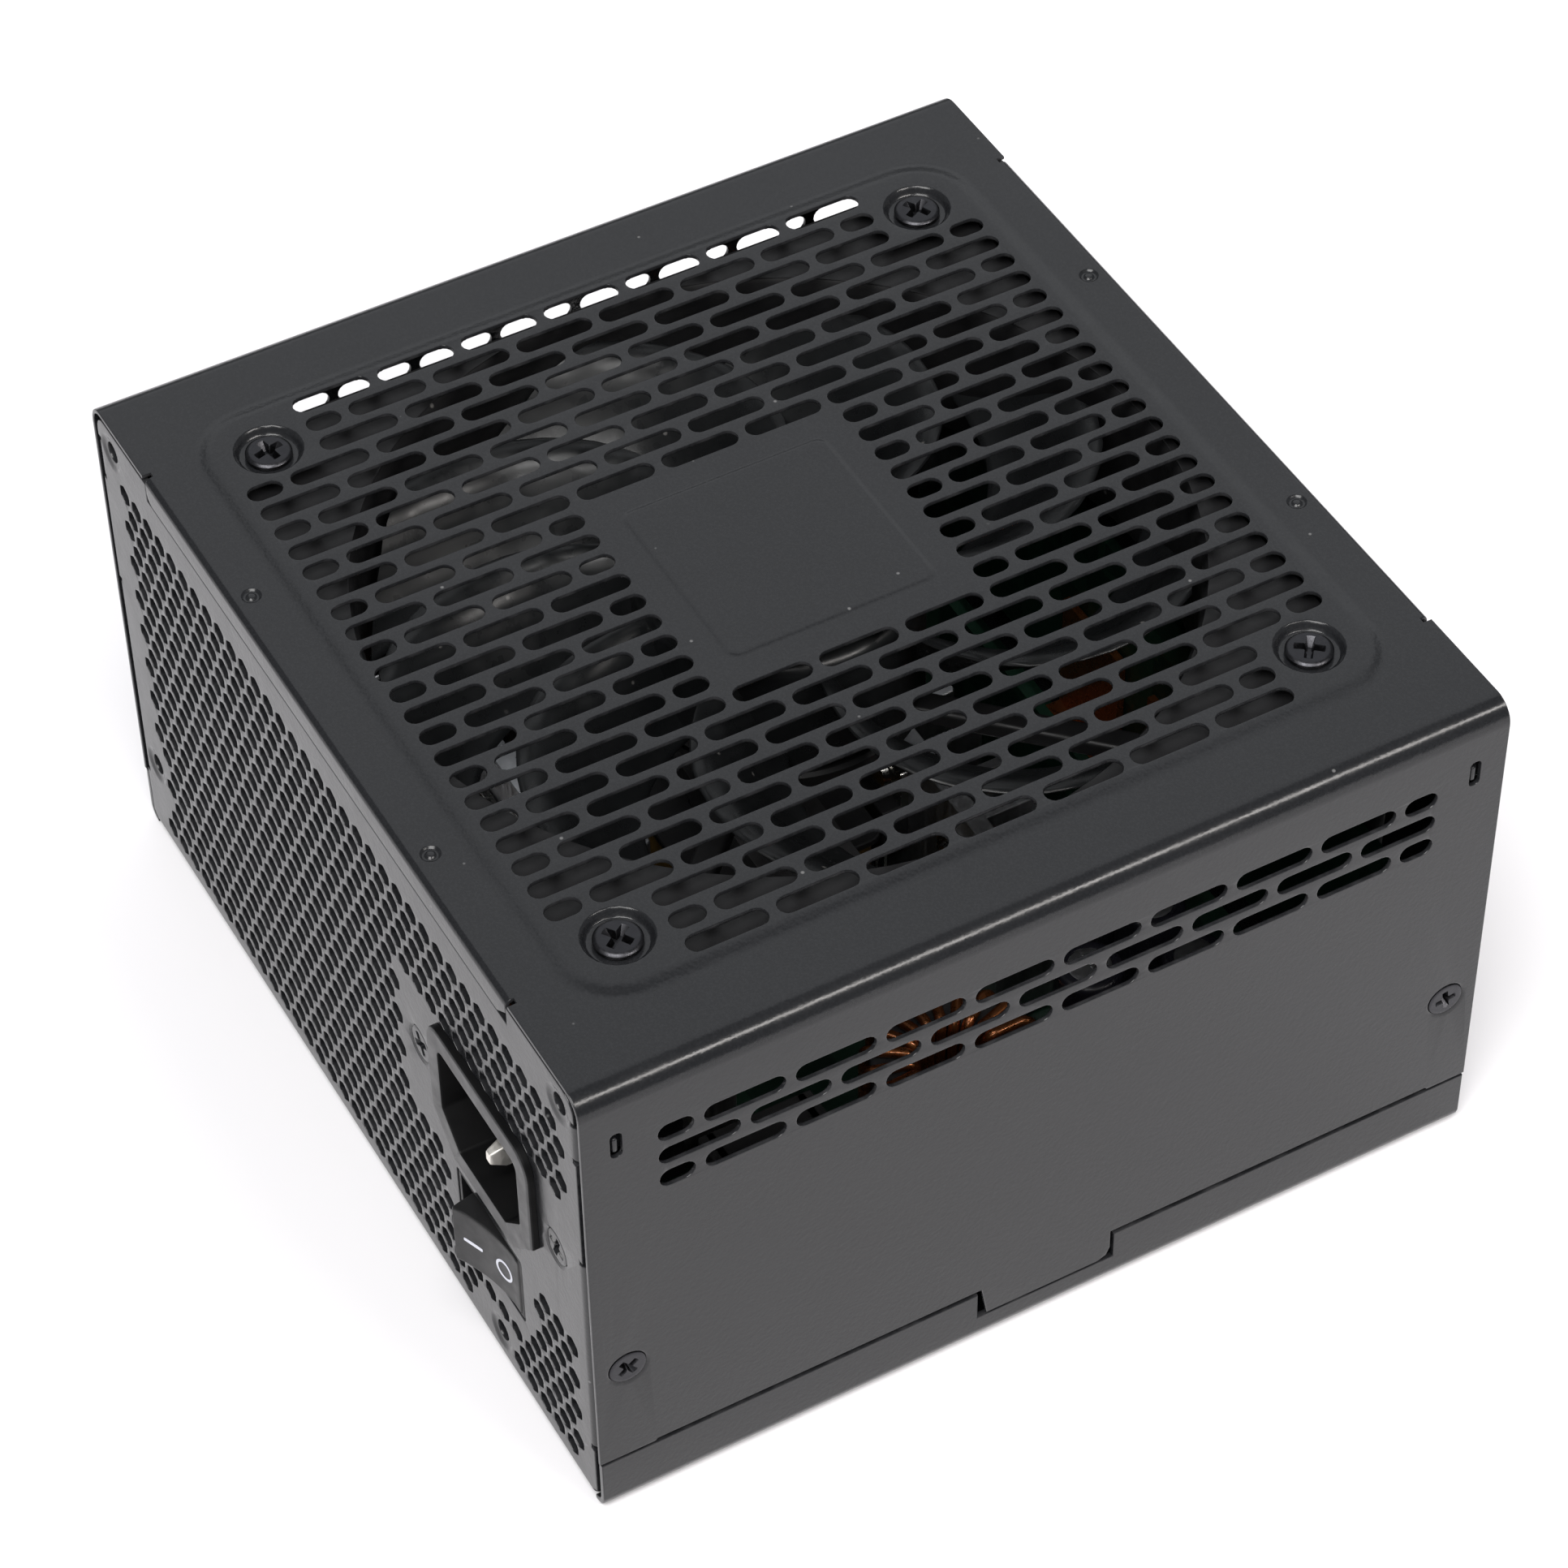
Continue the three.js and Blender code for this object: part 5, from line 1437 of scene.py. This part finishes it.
def build_film_capacitor():
    """A boxed film capacitor on two feet."""
    low, high = box_mm("x_capacitor")
    box = Pile().put(*moulding(low + (0, 0, 0.8), high, 1.2, 0.8))
    for x in (low[0] + 1.2, high[0] - 1.2):
        box.put(*moulding((x - 1.0, low[1] + 0.8, low[2]), (x + 1.0, high[1] - 0.8, low[2] + 1.2), 0.4, 0.1))
    box.make("x_capacitor_box", "case", "yellow_film", replaces=["x_capacitor"])


def build_rectifier():
    """A flat package with one cut corner, a screw hole and four legs."""
    low, high = box_mm("bridge_rectifier")
    corner, base = 3.2, low[2] + 2
    case = Blank(rounded_corners([(low[0], base, 0.4), (high[0], base, 0.4), (high[0], high[2] - corner, 0.4),
                                  (high[0] - corner, high[2], 0.4), (low[0], high[2], 0.4)]))
    x, y = middle(low, high, 0, 1)
    case.hole(round_hole((x, high[2] - 4.0), 1.7, 24))
    body = Pile().put(*upright(case, high[1], high[1] - low[1]))
    body.make("bridge_rectifier_package", "case", "component_resin", replaces=["bridge_rectifier"])
    legs = Pile()
    for number in range(4):
        leg = -51.5 + number * 5.0
        legs.put(*moulding((leg - 0.6, y - 0.4, BOARD_TOP), (leg + 0.6, y + 0.4, low[2] + 2.5), 0.1, 0.1))
    legs.make("bridge_rectifier_legs", "case", "bright_steel")


def build_relay():
    """A boxed relay with a small vent stub on its top."""
    low, high = box_mm("relay")
    body = Pile().put(*moulding(low + (0, 0, 0.6), high, 0.8, 0.5))
    body.put(*moulding(low + (0.4, 0.4, 0), high - (0.4, 0.4, 15.2), 0.6, 0.1))
    start = len(body.verts)
    body.put(*lathe([(0.9, high[2] - 0.1), (0.9, high[2] + 0.25), (0.6, high[2] + 0.35)], 20))
    body.moved(Matrix.Translation((low[0] + 3.0, high[1] - 3.0, 0)), start)
    body.make("relay_case", "case", "component_resin", replaces=["relay"])


def build_standby_transformer():
    """A small taped winding inside a ferrite frame."""
    low, high = box_mm("standby_transformer")
    coil = Pile().put(*moulding(low + (0.4, 2.4, 3.0), high - (0.4, 2.4, 2.0), 1.2, 0.5))
    coil.make("standby_transformer_tape", "case", "yellow_film", replaces=["standby_transformer"])
    core = Pile()
    for end in (low[1], high[1] - 2.6):
        core.put(*moulding((low[0], end, low[2] + 1.6), (high[0], end + 2.6, high[2]), 0.4, 0.3))
    core.put(*moulding(low + (0.2, 2.0, 0.0), (high[0] - 0.2, high[1] - 2.0, low[2] + 3.2), 0.4, 0.2))
    core.put(*moulding((low[0], low[1] + 1.0, high[2] - 2.4), (high[0], high[1] - 1.0, high[2]), 0.4, 0.3))
    core.make("standby_transformer_core", "case", "ferrite")


def build_stator():
    """Laminated ring with four wound poles inside the fan's hub."""
    low, high = box_mm("fan_stator")
    level = (low[2] + high[2]) / 2
    floor, top = low[2] + 1, high[2] - 1
    core = Pile().put(*lathe([(5.3, floor), (9.2, floor), (9.2, top), (5.3, top)], 48, closed=True))
    wire = Pile()
    radius = 0.32
    for number in range(4):
        turn = Matrix.Rotation(math.pi / 4 + number * math.pi / 2, 4, "Z")
        start = len(core.verts)
        core.put(*moulding((8.5, -1.6, level - 3.2), (13.4, 1.6, level + 3.2), 0.3, 0.2, axis=0))
        core.put(*moulding((12.6, -4.6, level - 3.6), (14.0, 4.6, level + 3.6), 0.4, 0.3, axis=0))
        core.moved(turn, start)
        loop = rounded_box(1.95, 3.55, 0.6, 4)
        path = [(9.6 + (k + j / len(loop)) * 2.05 * radius, y, level + z)
                for k in range(4) for j, (y, z) in enumerate(loop)]
        start = len(wire.verts)
        wire.put(*tube(path, radius, 6))
        wire.moved(turn, start)
    core.make("fan_stator_core", "case", "ferrite", replaces=["fan_stator"])
    wire.make("fan_stator_coils", "case", "copper", angle=60)


def build_sockets():
    """Cable sockets: a field of open cells with a contact pin in each."""
    pitch, cell, depth = 4.2, 1.65, 7.0
    for name, columns in SOCKETS:
        low, high = box_mm(name)
        cx, cz = middle(low, high, 0, 2)
        front = high[1]
        face = Blank(rounded_box(*halves(low, high, 0, 2), 0.9, 5, (cx, cz)))
        pins = Pile()
        for i in range(columns):
            for j in (0, 1):
                at = (cx + (i - (columns - 1) / 2) * pitch, cz + (j - 0.5) * pitch)
                corner = 1.1 if (i * 2 + j) % 3 else 0.2
                face.hole(square_hole(cell, cell, corner, 4, at))
                pins.put(*contact(at, low[1] + 1.0, front - 1.2))
        shell = Pile().put(*upright(face, front, depth))
        shell.put(*moulding(low, (high[0], front - depth + 0.2, high[2]), 0.9, 0.1, axis=1))
        shell.make(f"{name}_shell", "case", "black_plastic", replaces=[name])
        pins.make(f"{name}_contacts", "case", "brass")


def contact(at, root, tip):
    """A square pin along +Y with a blunt pyramid at its end."""
    rings = []
    for y, half in ((root, 0.5), (tip - 0.9, 0.5), (tip - 0.1, 0.22), (tip, 0.12)):
        rings.append(across(rounded_box(half, half, half * 0.3, 3, at), 1, y))
    return loft(rings)


def carry(node, material, bevel=0.12):
    """Gives a node kept from the CAD model its material and softened edges."""
    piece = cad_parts[node]
    piece.data.materials.clear()
    piece.data.materials.append(material)
    softened = piece.modifiers.new("edges", "BEVEL")
    softened.width = bevel * MM
    softened.segments = 2
    softened.limit_method = "ANGLE"
    piece.modifiers.new("normals", "WEIGHTED_NORMAL").keep_sharp = True


def build_internals():
    for name, inner in (("emi_choke", 5.5), ("pfc_choke", 8.0), ("output_choke", 6.5)):
        build_choke(name, inner)
    build_transformer()
    build_heatsink("primary_heatsink", (-15.0, 24.0))
    build_heatsink("secondary_heatsink", (-14.0, 4.0, 24.0))
    for name in ("bulk_capacitor", "output_capacitor_1", "output_capacitor_2", "output_capacitor_3",
                 "output_capacitor_4"):
        build_capacitor(name)
    build_film_capacitor()
    build_rectifier()
    build_relay()
    build_standby_transformer()
    build_stator()
    build_sockets()
    kept = {"circuit_board": ("main_board", "control_board", "modular_board"),
            "copper": ("busbar_supply", "busbar_ground"), "bright_steel": ("fan_shaft",),
            "brass": ("fan_bearing", "switch_terminal_1", "switch_terminal_2")}
    for slot, nodes in kept.items():
        for node in nodes:
            carry(node, MATERIALS[slot])
    carry("insulating_sheet", MATERIALS["insulating_film"], 0.05)


# ---------------------------------------------------------------- camera, floor and light

CAMERA_PLACE = (437.29, -236.15, 562.80)
CAMERA_AIM = (3.93, -1.80, 43.0)
CAMERA_ROLL = -0.9485  # degrees
FLOOR_REACH = 3000.0


def add_object(name, data):
    """A camera, light or floor linked into the scene."""
    thing = bpy.data.objects.new(name, data)
    bpy.context.scene.collection.objects.link(thing)
    return thing


def facing(place, aim):
    """Rotation that turns a camera or a light at a place towards an aim."""
    return (Vector(aim) - Vector(place)).to_track_quat("-Z", "Y").to_matrix().to_4x4()


def build_camera():
    data = bpy.data.cameras.new("camera")
    data.lens = 115.16
    data.sensor_width = 36.0
    data.clip_start = 0.01
    camera = add_object("camera", data)
    turn = facing(CAMERA_PLACE, CAMERA_AIM) @ Matrix.Rotation(math.radians(CAMERA_ROLL), 4, "Z")
    camera.matrix_world = Matrix.Translation(Vector(CAMERA_PLACE) * MM) @ turn
    bpy.context.scene.camera = camera


def build_floor():
    mesh = bpy.data.meshes.new("floor")
    reach = FLOOR_REACH * MM
    corners = [(-reach, -reach, 0), (reach, -reach, 0), (reach, reach, 0), (-reach, reach, 0)]
    mesh.from_pydata(corners, [], [(0, 1, 2, 3)])
    paper = bpy.data.materials.new("floor_paper")
    paper.use_nodes = True
    shader = paper.node_tree.nodes["Principled BSDF"]
    shader.inputs["Base Color"].default_value = (0.905, 0.895, 0.915, 1)
    shader.inputs["Roughness"].default_value = 0.7
    shader.inputs["Specular IOR Level"].default_value = 0.2
    mesh.materials.append(paper)
    floor = add_object("floor", mesh)


def build_studio():
    """A dim even surround, a strip that draws the cover's bend, and two soft boxes."""
    world = bpy.data.worlds.new("studio")
    world.use_nodes = True
    background = world.node_tree.nodes["Background"]
    background.inputs["Color"].default_value = (0.94, 0.97, 1.0, 1)
    background.inputs["Strength"].default_value = 0.20
    bpy.context.scene.world = world
    bpy.context.scene.view_settings.view_transform = "Standard"
    add_light("edge_strip", (0.60, 0.33, 0.74), 0.56, 4.0, (1.0, 0.96, 0.93), (0.0, 0.33, 0.04), 0.13)
    add_light("back_softbox", (-0.95, 0.52, 1.15), 1.5, 5.0, (0.95, 0.97, 1.0))
    add_light("front_softbox", (0.80, -0.90, 2.2), 1.6, 72, (1.0, 0.99, 0.98))


def add_light(name, place, size, power, colour, target=(0.0, 0.0, 0.04), height=None):
    """An area light in metres and watts that faces a target; square where no height is given."""
    data = bpy.data.lights.new(name, "AREA")
    data.shape = "RECTANGLE"
    data.size = size
    data.size_y = height or size
    data.energy = power
    data.color = colour
    light = add_object(name, data)
    light.matrix_world = Matrix.Translation(place) @ facing(place, target)


build_camera()
build_floor()
build_studio()
build_cover()
build_tray()
build_screws()
build_inlet()
build_switch()
build_fan()
build_internals()
